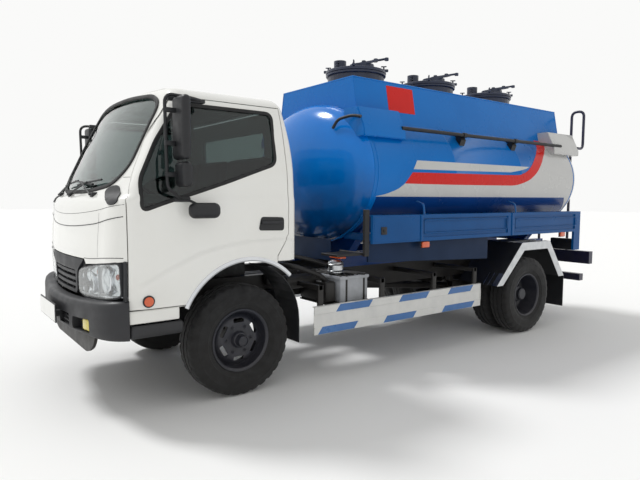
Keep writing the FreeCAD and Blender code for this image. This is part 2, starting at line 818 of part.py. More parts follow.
def tieRod():
    low = size.TyreRadius - size.PinHeight / 2 + size.ArmHeight + size.Gap
    y = axleY + size.ArmLength
    z = low + size.TieRodRadius
    reach = size.PinX - size.ArmInset - size.ArmWidth / 2
    rod = pipe("tie_rod_bar", "X", -reach, y, z, size.TieRodRadius, reach * 2)
    ends = []
    for side, sign in (("left", 1), ("right", -1)):
        ends.append(pipe("tie_rod_end_" + side, "Z", reach * sign, y, low,
                         size.ArmWidth / 2, size.TieRodRadius * 2))
    keep("tie_rod", fused("tie_rod_body", rod, *ends))


def spring(label, y, seatZ):
    """Leaf pack that rises towards its ends, with the hangers that carry it."""
    railZ = size.RailTop - size.RailHeight
    seatHalf = size.BeamWidth
    tipZ = railZ - size.HangerWidth
    middle = (seatZ + tipZ) / 2
    bow = size.SpringReach / 2
    low = (size.SpringPack + size.SpringTip) / 2
    pack = prism(label + "_pack", "YZ", (
        (y - seatHalf, seatZ),
        (y + seatHalf, seatZ),
        (y + bow, middle - size.SpringPack / 4),
        (y + size.SpringReach, tipZ - size.SpringTip),
        (y + size.SpringReach, tipZ),
        (y + bow, middle + low - size.SpringPack / 4),
        (y + seatHalf, seatZ + size.SpringPack),
        (y - seatHalf, seatZ + size.SpringPack),
        (y - bow, middle + low - size.SpringPack / 4),
        (y - size.SpringReach, tipZ),
        (y - size.SpringReach, tipZ - size.SpringTip),
        (y - bow, middle - size.SpringPack / 4),
    ), size.SpringX - size.SpringWidth / 2, size.SpringX + size.SpringWidth / 2)
    hangers = []
    for place, sign in (("front", -1), ("rear", 1)):
        centre = y + (size.SpringReach - size.HangerWidth / 2) * sign
        hangers.append(block("%s_hanger_%s" % (label, place),
                             (size.SpringX - size.SpringWidth / 2,
                              size.SpringX + size.SpringWidth / 2),
                             (centre - size.HangerWidth / 2, centre + size.HangerWidth / 2),
                             (tipZ - size.SpringTip, railZ)))
    return fused(label, pack, *hangers)


def springs():
    frontSeat = size.TyreRadius - size.EyeHeight / 2 - size.BeamDrop + size.BeamHeight
    rearSeat = size.TyreRadius + size.AxleTubeRadius
    front = spring("spring_front_left", axleY, frontSeat)
    rear = spring("spring_rear_left", rearAxleY, rearSeat)
    keep("leaf_springs", group("leaf_spring_set", front, mirrored("spring_front_right", front),
                               rear, mirrored("spring_rear_right", rear)))


def rearAxle():
    """Axle tube with its differential bulge, stub ends and the pinion nose."""
    nose = size.BanjoRadius * 0.45
    half = (
        (size.TwinOuterX, ZERO),
        (size.TwinOuterX, size.SpindleRadius),
        (size.RearTubeX, size.SpindleRadius),
        (size.RearTubeX, size.AxleTubeRadius),
        (size.BanjoRadius * 1.2, size.AxleTubeRadius),
        (nose, size.BanjoRadius),
    )
    other = [(-u, v) for u, v in reversed(half)]
    tube = turned("axle_tube", [point for point in half[2:]] + other[:4], size.RimSides, ZERO,
                  rearAxleY, size.TyreRadius)
    stub = shaft("axle_stub", "X", -size.TwinOuterX, rearAxleY, size.TyreRadius,
                 size.SpindleRadius, size.TwinOuterX * 2)
    reach = size.BanjoRadius * 1.3
    pinion = pipe("pinion_nose", "Y", ZERO, rearAxleY - reach, size.TyreRadius,
                  size.FlangeRadius, reach)
    keep("rear_axle_housing", fused("rear_axle_body", tube, stub, pinion))


# Engine and driveline

def driveline():
    half = size.EngineWidth / 2
    engine = block("engine_box", (-half, half), (ahead(size.EngineFront), behind(size.EngineRear)),
                   (size.EngineBottom, size.EngineTop))
    gearbox = pipe("gearbox", "Y", ZERO, behind(size.EngineRear), size.DrivelineZ,
                   size.GearboxRadius, (size.GearboxRear - size.EngineRear) * 0.55)
    tail = pipe("gearbox_tail", "Y", ZERO, behind(size.EngineRear), size.DrivelineZ,
                size.FlangeRadius, size.GearboxRear - size.EngineRear)
    web = size.RailOuterX - size.RailWall
    mount = block("engine_mounts", (-web, web),
                  (axleY - size.HangerWidth, axleY + size.HangerWidth),
                  (size.RailTop - size.RailHeight + size.RailWall * 2,
                   size.RailTop - size.RailWall * 2))
    keep("engine_block", fused("engine_body", engine, gearbox, tail, mount))
    slack = size.ShaftRadius * 0.12
    keep("propeller_shaft", bar("propeller_shaft_bar",
                                (ZERO, behind(size.GearboxRear) + slack, size.DrivelineZ),
                                (ZERO, rearAxleY - size.BanjoRadius * 1.3 - slack,
                                 size.TyreRadius), size.ShaftRadius, 12))


# Cab envelope: plan outlines stacked in height. Each row holds the height, the nose, the half
# width, the rear wall, and the sideways and rearward reach of the front corner, as shares.

CAB_SHARES = (
    (0.000, 0.0100, 0.985, 1.000, 0.120, 0.125),
    (0.226, 0.0035, 1.000, 1.004, 0.130, 0.130),
    (0.397, 0.0000, 1.000, 1.004, 0.130, 0.130),
    (0.459, 0.0490, 0.998, 1.004, 0.110, 0.100),
    (0.497, 0.1100, 0.990, 1.004, 0.085, 0.080),
    (0.603, 0.1620, 0.977, 1.004, 0.080, 0.075),
    (0.918, 0.3190, 0.886, 0.965, 0.080, 0.070),
    (0.966, 0.3540, 0.810, 0.945, 0.080, 0.070),
    (1.000, 0.4350, 0.500, 0.860, 0.080, 0.070),
)
BOW_SHARE = 0.045
REAR_CORNER_SHARE = 0.045


BOW_SHARES = (-1.0, -0.55, 0.0, 0.55, 1.0)
CORNER_TURNS = (30, 60)


def planOutline(z, noseY, half, rearY, cornerX, cornerY, bow, rearCorner):
    """A plan outline with a bowed front and rounded corners."""
    frontX = half - cornerX
    sideY = noseY + bow + cornerY
    front = [Vector(frontX * share, noseY + bow * share * share, z) for share in BOW_SHARES]
    corner = []
    for turn in CORNER_TURNS:
        angle = math.radians(turn)
        corner.append((frontX + cornerX * math.sin(angle), sideY - cornerY * math.cos(angle)))
    side = corner + [(half, sideY), (half, rearY - rearCorner),
                     (half - rearCorner * 0.3, rearY - rearCorner * 0.3),
                     (half - rearCorner, rearY)]
    left = [Vector(x, y, z) for x, y in side]
    right = [Vector(-x, y, z) for x, y in reversed(side)]
    return front + left + right


def cabEnvelope(label, inset):
    """The outside of the cab, moved inwards by an inset."""
    length = amount(size.CabNose + size.CabBack)
    nose = amount(ahead(size.CabNose))
    height = amount(size.CabTop - size.CabBottom)
    inward = amount(inset)
    rings = []
    for up, back, wide, rear, cornerX, cornerY in CAB_SHARES:
        z = amount(size.CabBottom) + height * up
        if up == 0 and inward:
            z -= amount(size.Overrun)
        if up > 0.9:
            z -= inward * (up - 0.9) / 0.1
        half = amount(size.CabHalfWidth) * wide - inward
        rings.append(planOutline(
            z, nose + length * back + inward, half, nose + length * rear - inward,
            amount(size.CabHalfWidth) * cornerX, amount(size.CabHalfWidth) * cornerY,
            half * BOW_SHARE, amount(size.CabHalfWidth) * REAR_CORNER_SHARE))
    return skinned(label, rings, False)


def slab(label, plane, points, low, high):
    return prism(label, plane, points, low, high)


def doorOutline(gap):
    """Side view of a door, moved outwards by a gap."""
    front = ahead(size.DoorFront) - gap
    rear = behind(size.DoorRear) + gap
    low = size.DoorBottom - gap
    top = size.RoofLine - size.ShutGap + gap
    length = size.CabNose + size.CabBack
    pillarFoot = ahead(size.CabNose) + length * 0.165 - gap
    pillarHead = ahead(size.CabNose) + length * 0.362 - gap
    return (
        (front, low),
        (rear - size.CabWall * 2, low),
        (rear - size.CabWall * 2, size.DeckZ - gap),
        (rear, size.DeckZ + size.CabWall * 3),
        (rear, size.BeltZ + size.CabWall * 5),
        (rear - size.CabWall / 2, top),
        (pillarHead, top),
        (pillarFoot, size.BeltZ + size.CabWall * 2),
        (front, size.BeltZ),
    )


def windowOutline(inset):
    """Side view of a door window, moved inwards by an inset."""
    length = size.CabNose + size.CabBack
    nose = ahead(size.CabNose)
    return (
        (nose + length * 0.212 + inset, size.BeltZ - size.CabWall / 2 + inset),
        (nose + length * 0.36, size.BeltZ - size.CabWall / 2 + inset),
        (nose + length * 0.88 - inset, size.BeltZ + size.CabWall * 4.4 + inset),
        (nose + length * 0.88 - inset, size.RoofLine - size.CabWall - inset),
        (nose + length * 0.375 + inset, size.RoofLine - size.CabWall - inset),
        (nose + length * 0.245 + inset, size.BeltZ + size.CabWall * 5),
    )


def cabShell():
    outer = cabEnvelope("cab_outer", ZERO)
    inner = cabEnvelope("cab_inner", size.CabWall)
    glassOut = cabEnvelope("glass_outer", size.GlassDepth)
    glassIn = cabEnvelope("glass_inner", size.GlassDepth + size.GlassWall)
    shell = cut("cab_shell", outer, inner)
    glass = cut("glass_shell", glassOut, glassIn)
    wide = size.CabHalfWidth + size.Overrun
    core = size.CabHalfWidth * 0.8
    nose = ahead(size.CabNose) - size.Overrun
    back = behind(size.CabBack) + size.Overrun
    arch = pipe("arch_cut", "X", -wide, axleY, size.ArchZ, size.ArchRadius, wide * 2,
                size.ArchSides)

    doorBlank = prism("door_blank", "YZ", doorOutline(ZERO), core, wide)
    doorHole = prism("door_hole", "YZ", doorOutline(size.ShutGap), core, wide)
    window = prism("window_hole", "YZ", windowOutline(ZERO), core, wide)
    pane = prism("window_pane", "YZ", windowOutline(size.Gap), core, wide)
    doorArch = pipe("door_arch", "X", -wide, axleY, size.ArchZ,
                    size.ArchRadius + size.ShutGap, wide * 2, size.ArchSides)
    plain = cut("door_trimmed", common("door_panel", shell, doorBlank),
                fused("door_cuts", window, doorArch))
    knuckles = [shaft("door_knuckle_%d" % (index + 1), "Z", size.HingeX, ahead(size.HingeY), z,
                      size.HingeRadius, size.HingeLength)
                for index, z in enumerate((size.DeckZ - size.HingeLength, size.BeltZ
                                           - size.HingeLength * 2))]
    door = fused("door_with_hinges", plain, *knuckles)
    keep("door_left", door)
    keep("door_right", mirrored("door_right_mirror", door))
    doorGlass = common("door_glass_pane", glass, pane)
    keep("door_glass_left", doorGlass)
    keep("door_glass_right", mirrored("door_glass_right_mirror", doorGlass))

    seam = size.Gap
    seamY = ahead(size.DoorFront) - size.ShutGap
    rearSeam = behind(size.CabBack) - size.CabWall
    roofZone = block("roof_zone", (-wide, wide), (nose, back),
                     (size.RoofLine, size.CabTop + size.Overrun))
    bodyZone = block("body_zone", (-wide, wide), (nose, back),
                     (size.CabBottom - size.Overrun, size.RoofLine))
    screenZone = windscreenZone("screen_zone", ZERO)
    paneZone = windscreenZone("screen_pane_zone", size.Gap)
    keep("cab_roof", cut("roof_panel", common("roof_blank", shell, roofZone), screenZone))

    length = size.CabNose + size.CabBack
    pillarFoot = ahead(size.CabNose) + length * 0.165 - size.ShutGap
    pillarHead = ahead(size.CabNose) + length * 0.362 - size.ShutGap
    frontOutline = (
        (nose, size.CabBottom - size.Overrun),
        (seamY, size.CabBottom - size.Overrun),
        (seamY, size.BeltZ),
        (pillarFoot, size.BeltZ + size.CabWall * 2),
        (pillarHead, size.RoofLine),
        (nose, size.RoofLine),
    )
    frontZone = prism("front_zone", "YZ", frontOutline, -wide, wide)
    openings = fused("front_openings", screenZone, *frontOpenings())
    keep("cab_front_panel", cut("front_panel_cut", common("front_blank", shell, frontZone),
                                openings))
    sideX = size.CabHalfWidth - size.CabWall * 2
    rearZone = block("rear_zone", (-sideX, sideX), (rearSeam, back),
                     (size.CabBottom - size.Overrun, size.RoofLine))
    rearWindow = block("rear_window", (-size.CabHalfWidth * 0.62, size.CabHalfWidth * 0.62),
                       (rearSeam - size.Overrun, back),
                       (size.BeltZ + size.CabWall * 2, size.RoofLine - size.CabWall * 3))
    rearLow = block("rear_low_cut", (-wide, wide), (rearSeam - size.Overrun, back),
                    (size.CabBottom - size.Overrun * 2, size.DeckZ - size.FloorWall))
    keep("cab_rear_wall", cut("rear_wall_cut", common("rear_blank", shell, rearZone),
                              fused("rear_wall_cuts", rearWindow, rearLow)))
    sideZone = block("side_zone", (core, wide), (seamY, back),
                     (size.CabBottom - size.Overrun, size.RoofLine))
    sideBlank = common("side_blank", shell, sideZone)
    sideCuts = fused("side_cuts", doorHole, frontZone, rearZone, arch,
                     block("side_low_cut", (core, wide), (axleY, back),
                           (size.CabBottom - size.Overrun * 2, size.DeckZ - size.FloorWall)))
    sideLeft = cut("side_left_panel", sideBlank, sideCuts)
    keep("cab_sides", group("cab_side_pair", sideLeft, mirrored("side_right_panel", sideLeft)))
    screen = common("screen_glass", glass, paneZone)
    rearPane = common("rear_glass", glass, block(
        "rear_pane_zone",
        (-size.CabHalfWidth * 0.62 + size.Gap, size.CabHalfWidth * 0.62 - size.Gap),
        (rearSeam, back),
        (size.BeltZ + size.CabWall * 2 + size.Gap,
         size.RoofLine - size.CabWall * 3 - size.Gap)))
    keep("cab_glass", group("cab_glass_set", screen, rearPane))
    cabInside(inner, glassOut)


def windscreenZone(label, inset):
    """Front view of the windscreen, moved inwards by an inset."""
    low = size.BeltZ + size.CabWall * 2 + inset
    high = size.RoofLine + size.CabWall / 2 - inset
    foot = size.CabHalfWidth * 0.90 - inset
    head = size.CabHalfWidth * 0.80 - inset
    return prism(label, "XZ", (
        (-foot, low),
        (foot, low),
        (head, high),
        (-head, high),
    ), ahead(size.CabNose) - size.Overrun, ahead(size.DeckFront) + size.CabWall)


def frontOpenings():
    """Cut-outs of the front panel for the grille and the headlamps."""
    nose = ahead(size.CabNose) - size.Overrun
    deep = ahead(size.DoorFront) + size.CabWall
    grille = block("grille_opening", (-size.CabHalfWidth * 0.66, size.CabHalfWidth * 0.66),
                   (nose, deep), (size.CabBottom + size.CabWall,
                                  size.CabBottom + size.CabWall * 6.6))
    lamps = []
    for side, sign in (("left", 1), ("right", -1)):
        xs = (size.CabHalfWidth * 0.70, size.CabHalfWidth * 0.96)
        if sign < 0:
            xs = (-xs[1], -xs[0])
        lamps.append(block("lamp_opening_" + side, xs, (nose, deep - size.CabWall * 1.2),
                           (size.CabBottom + size.CabWall * 1.8,
                            size.CabBottom + size.CabWall * 5.8)))
    return [grille] + lamps


def cabInside(inner, glassOut):
    """Grille, headlamps, floor, dashboard and seats, fitted to the inside of the cab."""
    wide = size.CabHalfWidth
    nose = ahead(size.CabNose) - size.Overrun
    back = behind(size.CabBack) + size.Overrun
    shallow = cabEnvelope("trim_depth", size.CabWall - size.Gap)
    skin = cut("trim_skin", glassOut, shallow)
    low = size.CabBottom + size.CabWall
    bars = []
    count = 5
    for index in range(count):
        z = low + size.CabWall * (0.4 + index * 1.1)
        bars.append(block("grille_bar_%d" % (index + 1), (-wide * 0.66 + size.Gap,
                                                         wide * 0.66 - size.Gap),
                          (nose, ahead(size.DoorFront)), (z, z + size.CabWall * 0.5)))
    for index in range(5):
        x = wide * (-0.64 + 0.32 * index)
        bars.append(block("grille_post_%d" % (index + 1), (x - size.CabWall / 4,
                                                          x + size.CabWall / 4),
                          (nose, ahead(size.DoorFront)),
                          (low + size.Gap, low + size.CabWall * 5.6 - size.Gap)))
    keep("front_grille", common("grille_panel", skin, fused("grille_lattice", *bars)))
    lamps = []
    for side, sign in (("left", 1), ("right", -1)):
        xs = (wide * 0.70 + size.Gap, wide * 0.96 - size.Gap)
        if sign < 0:
            xs = (-xs[1], -xs[0])
        lamps.append(block("headlamp_zone_" + side, xs,
                           (nose, ahead(size.DoorFront) - size.CabWall / 4),
                           (size.CabBottom + size.CabWall * 1.8 + size.Gap,
                            size.CabBottom + size.CabWall * 5.8 - size.Gap)))
    keep("headlamps", group("headlamp_set", *[
        common("headlamp_%d" % (index + 1), skin, lamp) for index, lamp in enumerate(lamps)]))

    front = ahead(size.CabNose)
    rear = behind(size.CabBack)
    floor = prism("floor_profile", "YZ", (
        (front, size.FootwellZ - size.FloorWall),
        (ahead(size.DeckFront) + size.FloorWall, size.FootwellZ - size.FloorWall),
        (ahead(size.DeckFront) + size.FloorWall, size.DeckZ - size.FloorWall),
        (rear, size.DeckZ - size.FloorWall),
        (rear, size.DeckZ),
        (ahead(size.DeckFront), size.DeckZ),
        (ahead(size.DeckFront), size.FootwellZ),
        (front, size.FootwellZ),
    ), -wide, wide)
    inner_x = size.RailOuterX + size.TunnelGap
    tunnelTop = size.EngineTop + size.TunnelGap
    tunnel = block("engine_tunnel", (-inner_x, inner_x),
                   (front, ahead(size.DeckFront) + size.FloorWall),
                   (size.FootwellZ - size.FloorWall * 2, tunnelTop))
    hump = block("engine_hump", (-inner_x - size.FloorWall, inner_x + size.FloorWall),
                 (front, ahead(size.DeckFront)),
                 (size.FootwellZ - size.FloorWall, tunnelTop + size.FloorWall))
    trimmed = common("floor_fitted", inner, cut("floor_hollow",
                                                fused("floor_with_hump", floor, hump), tunnel))
    gaps = []
    for low, high in ((-wide, -wide + size.CabWall * 1.6), (wide - size.CabWall * 1.6, wide)):
        gaps.append(block("floor_gap_%d" % (len(gaps) + 1), (low, high),
                          (ahead(size.DoorFront) - size.ShutGap,
                           behind(size.DoorRear) + size.ShutGap),
                          (size.CabBottom, size.DeckZ + size.Overrun)))
    trimmed = cut("floor_trimmed", trimmed, fused("floor_gaps", *gaps))
    bosses = []
    bores = []
    for side, sign in (("left", 1), ("right", -1)):
        start = size.RailOuterX - size.TiltPinRadius * 2
        end = inner_x + size.FloorWall / 4
        xs = (start, end) if sign > 0 else (-end, -start)
        bosses.append(pipe("tilt_boss_" + side, "X", xs[0], ahead(size.TiltY), size.TiltZ,
                           size.TiltPinRadius * 1.8, xs[1] - xs[0]))
        low = start - size.Overrun if sign > 0 else -size.RailOuterX
        bores.append(shaft("tilt_bore_" + side, "X", low, ahead(size.TiltY), size.TiltZ,
                           size.TiltPinRadius + size.RunningGap,
                           size.TiltPinRadius * 2 + size.Overrun))
    keep("cab_floor", cut("floor_bored", fused("floor_with_bosses", trimmed, *bosses),
                          fused("tilt_bores", *bores)))
    dash = prism("dash_profile", "YZ", (
        (front, size.BeltZ - size.CabWall * 5),
        (ahead(size.DoorFront) + size.CabWall * 2, size.BeltZ - size.CabWall * 4),
        (ahead(size.DoorFront) + size.CabWall * 3, size.BeltZ - size.CabWall),
        (ahead(size.DoorFront) + size.CabWall * 2, size.BeltZ + size.CabWall * 0.6),
        (front, size.BeltZ + size.CabWall * 1.2),
    ), -wide + size.CabWall * 2, wide - size.CabWall * 2)
    keep("dashboard", common("dash_fitted", inner, dash))
    seats()


def seats():
    """Driver's seat and two-seat bench on the deck."""
    pieces = []
    cushion = size.CabWall * 3.4
    places = (("driver", size.CabHalfWidth * 0.20, size.CabHalfWidth * 0.86),
              ("bench", -size.CabHalfWidth * 0.86, size.CabHalfWidth * 0.12))
    back = behind(size.CabBack) - size.CabWall * 1.6
    thick = size.CabWall * 2.2
    for name, low, high in places:
        top = size.DeckZ + cushion
        pieces.append(prism("seat_" + name, "YZ", (
            (ahead(size.DeckFront) + size.CabWall, size.DeckZ),
            (back, size.DeckZ),
            (back, size.RoofLine - size.CabWall * 7),
            (back - thick, size.RoofLine - size.CabWall * 7),
            (back - thick * 1.6, top),
            (ahead(size.DeckFront) + size.CabWall, top),
        ), low, high))
    keep("seats", group("seat_pair", *pieces))


# Steering wheel on its column

def steeringWheel():
    """Rim, boss and spokes on an inclined column."""
    tilt = Rotation(Vector(1, 0, 0), -30)
    centre = point(size.CabHalfWidth * 0.52, ahead(size.DeckFront) - size.CabWall * 2.2,
                   size.BeltZ + size.CabWall * 1.6)
    axis = tilt.multVec(Vector(0, 0, 1))
    spun = Rotation(Vector(1, 0, 0), axis)
    reach = size.SteeringRadius
    grip = size.SteeringGrip
    rim = turned("steering_rim", (
        (-grip, reach),
        (-grip / 2, reach + grip),
        (grip / 2, reach + grip),
        (grip, reach),
        (grip / 2, reach - grip),
        (-grip / 2, reach - grip),
    ), size.RimSides, ZERO, ZERO, ZERO)
    boss = shaft("steering_boss", "X", -size.CabWall * 0.9, ZERO, ZERO, size.CabWall * 0.8,
                size.CabWall * 0.8)
    parts = [rim, boss]
    for index, turn in enumerate((0, 120, 240)):
        angle = math.radians(turn)
        aim = (math.sin(angle), math.cos(angle))
        start = (-size.CabWall * 0.5, size.CabWall * (aim[0] * 0.4), size.CabWall * (aim[1] * 0.4))
        end = (ZERO, reach * aim[0], reach * aim[1])
        parts.append(bar("steering_spoke_%d" % (index + 1), start, end, grip * 0.8, 6))
    wheel = fused("steering_wheel_body", *parts)
    wheel.Placement = Placement(centre, spun)
    keep("steering_wheel", wheel)
    doc.recompute()
    top = centre - axis * amount(size.CabWall * 0.9 + size.Gap)
    column = bar("column_bar", top, top - axis * amount(size.CabWall * 6.5), size.CabWall * 0.6,
                 12)
    room = doc.getObject("cab_inner").Shape
    cover = column.Shape.common(room)
    cover = cover.cut(nodes["dashboard"].Shape).cut(nodes["cab_floor"].Shape)
    pieces = sorted(cover.Solids, key=lambda solid: solid.Volume)
    keep("steering_column", shaped("steering_column_body", pieces[-1]))


# Bumper with step ends

def bumper():
    nose = amount(ahead(size.FrontOverhang))
    half = amount(size.CabHalfWidth + size.FlangeWidth)
    skins = []
    for name, inset in (("outside", 0.0), ("inside", amount(size.BumperWall))):
        over = amount(size.Overrun) if inset else 0.0
        rings = [planOutline(z, nose + inset, half - inset, amount(ahead(size.StepRear)) + inset,
                             half * 0.13, half * 0.14, half * BOW_SHARE,
                             amount(size.FlangeWidth))
                 for z in (amount(size.BumperBottom) - over, amount(size.BumperTop) + over)]
        skins.append(skinned("bumper_" + name, rings, False))
    beam = cut("bumper_beam", *skins)
    back = block("bumper_back_cut", (-size.CabHalfWidth * 2, size.CabHalfWidth * 2),
                 (ahead(size.DoorFront), behind(size.CabBack)),
                 (size.BumperBottom - size.Overrun, size.BumperTop + size.Overrun))
    shell = cut("bumper_shell", beam, back)
    steps = []
    for side, sign in (("left", 1), ("right", -1)):
        outerX = size.CabHalfWidth - size.FlangeWidth
        xs = (outerX - size.StepWidth, outerX)
        if sign < 0:
            xs = (-xs[1], -xs[0])
        steps.append(block("step_" + side, xs, (ahead(size.DoorFront) - size.BumperWall,
                                                ahead(size.StepRear)),
                           (size.BumperBottom, size.StepTop)))
    arms = []
    for side, sign in (("left", 1), ("right", -1)):
        xs = (size.RailOuterX - size.RailFlange, size.RailOuterX)
        if sign < 0:
            xs = (-xs[1], -xs[0])
        arms.append(block("bumper_arm_" + side, xs,
                          (ahead(size.FrontOverhang) + size.BumperWall, ahead(size.RailFront)),
                          (size.RailTop - size.RailHeight,
                           size.RailTop - size.RailHeight + size.CabWall)))
    carriers = []
    for side, sign in (("left", 1), ("right", -1)):
        xs = (size.RailOuterX, size.CabHalfWidth - size.StepWidth)
        if sign < 0:
            xs = (-xs[1], -xs[0])
        carriers.append(block("step_arm_" + side, xs,
                              (ahead(size.DoorFront) - size.BumperWall,
                               ahead(size.DoorFront)),
                              (size.RailTop - size.RailHeight,
                               size.RailTop - size.RailHeight + size.FloorWall)))
    keep("front_bumper", fused("bumper_body", shell, *(steps + arms + carriers)))
    lamps = []
    for side, sign in (("left", 1), ("right", -1)):
        lamps.append(pipe("fog_lamp_" + side, "Y", size.CabHalfWidth * 0.62 * sign,
                              ahead(size.FrontOverhang) + size.FlangeWidth * 0.4,
                              (size.BumperBottom + size.BumperTop) / 2,
                              size.CabWall * 0.9, size.BumperWall / 3))
    solid = nodes["front_bumper"]
    doc.recompute()
    keep("fog_lamps", group("fog_lamp_pair", *[
        cut("fog_lamp_seated_%d" % (index + 1), lamp, solid)
        for index, lamp in enumerate(lamps)]))


# Front mudguards behind the front wheels, on the frame

def mudguards():
    radius = size.ArchRadius - size.FloorWall / 2
    xs = (size.RailOuterX + size.FloorWall * 5, size.CabHalfWidth - size.CabWall)
    outer = pipe("guard_outer", "X", xs[0], axleY, size.ArchZ, radius, xs[1] - xs[0],
                 size.ArchSides)
    inner = pipe("guard_inner", "X", xs[0] - size.Overrun, axleY, size.ArchZ,
                 radius - size.FenderWall, xs[1] - xs[0] + size.Overrun * 2, size.ArchSides)
    ring = cut("guard_ring", outer, inner)
    zone = block("guard_zone", (xs[0] - size.Overrun, xs[1] + size.Overrun),
                 (axleY + size.CabWall * 4, behind(size.CabBack) + size.CabWall * 4),
                 (size.ArchZ, size.ArchZ + size.ArchRadius))
    arc = common("guard_arc", ring, zone)
    drop = block("guard_drop", xs,
                 (axleY + radius - size.FenderWall, axleY + radius),
                 (size.GuardBottom - size.CabWall, size.ArchZ))
    arm = block("guard_arm", (size.RailOuterX, xs[0]),
                (axleY + radius - size.FloorWall / 2, axleY + radius + size.FloorWall),
                (size.RailTop - size.RailHeight, size.RailTop - size.RailHeight
                 + size.FloorWall * 2))
    foot = block("guard_foot", (xs[0], xs[0] + size.FloorWall),
                 (axleY + radius - size.FloorWall / 2, axleY + radius + size.FloorWall),
                 (size.RailTop - size.RailHeight, size.RailTop - size.RailHeight
                  + size.FloorWall * 2))
    left = fused("front_guard_left", arc, drop, arm, foot)
    keep("front_mudguards", group("front_guard_pair", left, mirrored("front_guard_right", left)))
    rearFender()


def rearFender():
    wall = size.FenderWall
    top = size.FenderTop
    outside = (
        (rearAxleY - size.FenderFront, size.FenderFoot),
        (rearAxleY - size.FenderTopFront, top),
        (rearAxleY + size.FenderTopRear, top),
        (rearAxleY + size.FenderRear, size.FenderFoot),
    )
    inside = (
        (rearAxleY + size.FenderRear - wall, size.FenderFoot),
        (rearAxleY + size.FenderTopRear - wall, top - wall),
        (rearAxleY - size.FenderTopFront + wall, top - wall),
        (rearAxleY - size.FenderFront + wall, size.FenderFoot),
    )
    plate = prism("fender_plate", "YZ", outside + inside, size.FenderInnerX, size.FenderOuterX)
    flap = block("mud_flap", (size.FenderInnerX, size.FenderOuterX),
                 (rearAxleY + size.FenderRear - wall, rearAxleY + size.FenderRear
                  + size.FlapWall - wall),
                 (size.FlapBottom, size.FenderFoot))
    arm = block("fender_arm", (size.RailOuterX, size.FenderInnerX),
                (rearAxleY + size.FenderRear - size.CabWall * 3,
                 rearAxleY + size.FenderRear - size.CabWall * 2),
                (size.RailTop - size.CabWall * 2, size.RailTop - size.CabWall))
    rise = block("fender_rise", (size.FenderInnerX, size.FenderInnerX + size.FlapWall),
                 (rearAxleY + size.FenderTopRear - size.CabWall,
                  rearAxleY + size.FenderRear - size.CabWall * 2),
                 (size.RailTop - size.CabWall * 2, size.RailTop - size.CabWall))
    left = fused("rear_fender_left", plate, flap, arm, rise)
    keep("rear_mudguards", group("rear_fender_pair", left, mirrored("rear_fender_right", left)))


# Tank

def oval(y, share, rise):
    """Corners of the tank's oval section at a place along the truck."""
    count = int(amount(size.TankSides))
    wide = amount(size.TankHalfWidth) * share + rise
    tall = amount(size.TankHalfHeight) * share + rise
    middle = amount(size.TankAxisZ)
    corners = []
    for index in range(count):
        angle = 2 * math.pi * (index + 0.5) / count
        corners.append(Vector(wide * math.sin(angle), amount(y), middle - tall * math.cos(angle)))
    return corners


HEAD_TURNS = (0, 18, 36, 54, 72)


def dishedHead(label, sign, y):
    """A dished end in bands, each a share of the oval."""
    rings = []
    for turn in HEAD_TURNS:
        angle = math.radians(turn)
        rings.append(oval(y + size.HeadDepth * (sign * math.sin(angle)), math.cos(angle), 0.0))
    rings.append([point(ZERO, y + size.HeadDepth * sign, size.TankAxisZ)])
    return skinned(label, rings, False)


def tank():
    start = behind(size.TankFront)
    end = behind(size.TankRear)
    seam = size.SeamWidth
    rise = amount(size.SeamRise)
    stations = (
        (start, rise),
        (start + seam, rise),
        (start + seam, 0.0),
        (start + seam * 2.5, 0.0),
        (start + seam * 2.5, rise),
        (start + seam * 3.5, rise),
        (start + seam * 3.5, 0.0),
        (end - seam, 0.0),
        (end - seam, rise),
        (end, rise),
    )
    keep("tank_barrel", skinned("tank_barrel_body", [oval(y, 1.0, up) for y, up in stations],
                                False))
    keep("tank_heads", group("tank_head_pair", dishedHead("tank_head_front", -1, start),
                             dishedHead("tank_head_rear", 1, end)))
    saddles()
    spillBox()
    shoulders()


SADDLE_SHARES = (0.04, 0.33, 0.64, 0.93)


def saddles():
    """Two sills on the frame and cradles that carry the tank."""
    bottom = size.RailTop
    sillTop = size.TankAxisZ - size.TankHalfHeight - size.SillWidth
    half = size.SillWidth / 2
    x = size.SpringX
    parts = []
    for side, sign in (("left", 1), ("right", -1)):
        parts.append(block("sill_" + side, (x * sign - half, x * sign + half),
                           (behind(size.TankFront), behind(size.RailRear)), (bottom, sillTop)))
    tankLength = size.TankRear - size.TankFront
    for index, share in enumerate(SADDLE_SHARES):
        y = behind(size.TankFront) + tankLength * share
        parts.append(prism("saddle_%d" % (index + 1), "XZ", (
            (-x - half, sillTop),
            (x + half, sillTop),
            (size.SaddleHalf * 1.6, size.TankAxisZ - size.TankHalfHeight * 0.55),
            (size.SaddleHalf, size.TankAxisZ - size.TankHalfHeight * 0.5),
            (-size.SaddleHalf, size.TankAxisZ - size.TankHalfHeight * 0.5),
            (-size.SaddleHalf * 1.6, size.TankAxisZ - size.TankHalfHeight * 0.55),
        ), y, y + size.SaddleWidth))
    keep("tank_saddles", cut("saddle_seats", fused("saddle_frame", *parts),
                             nodes["tank_barrel"]))


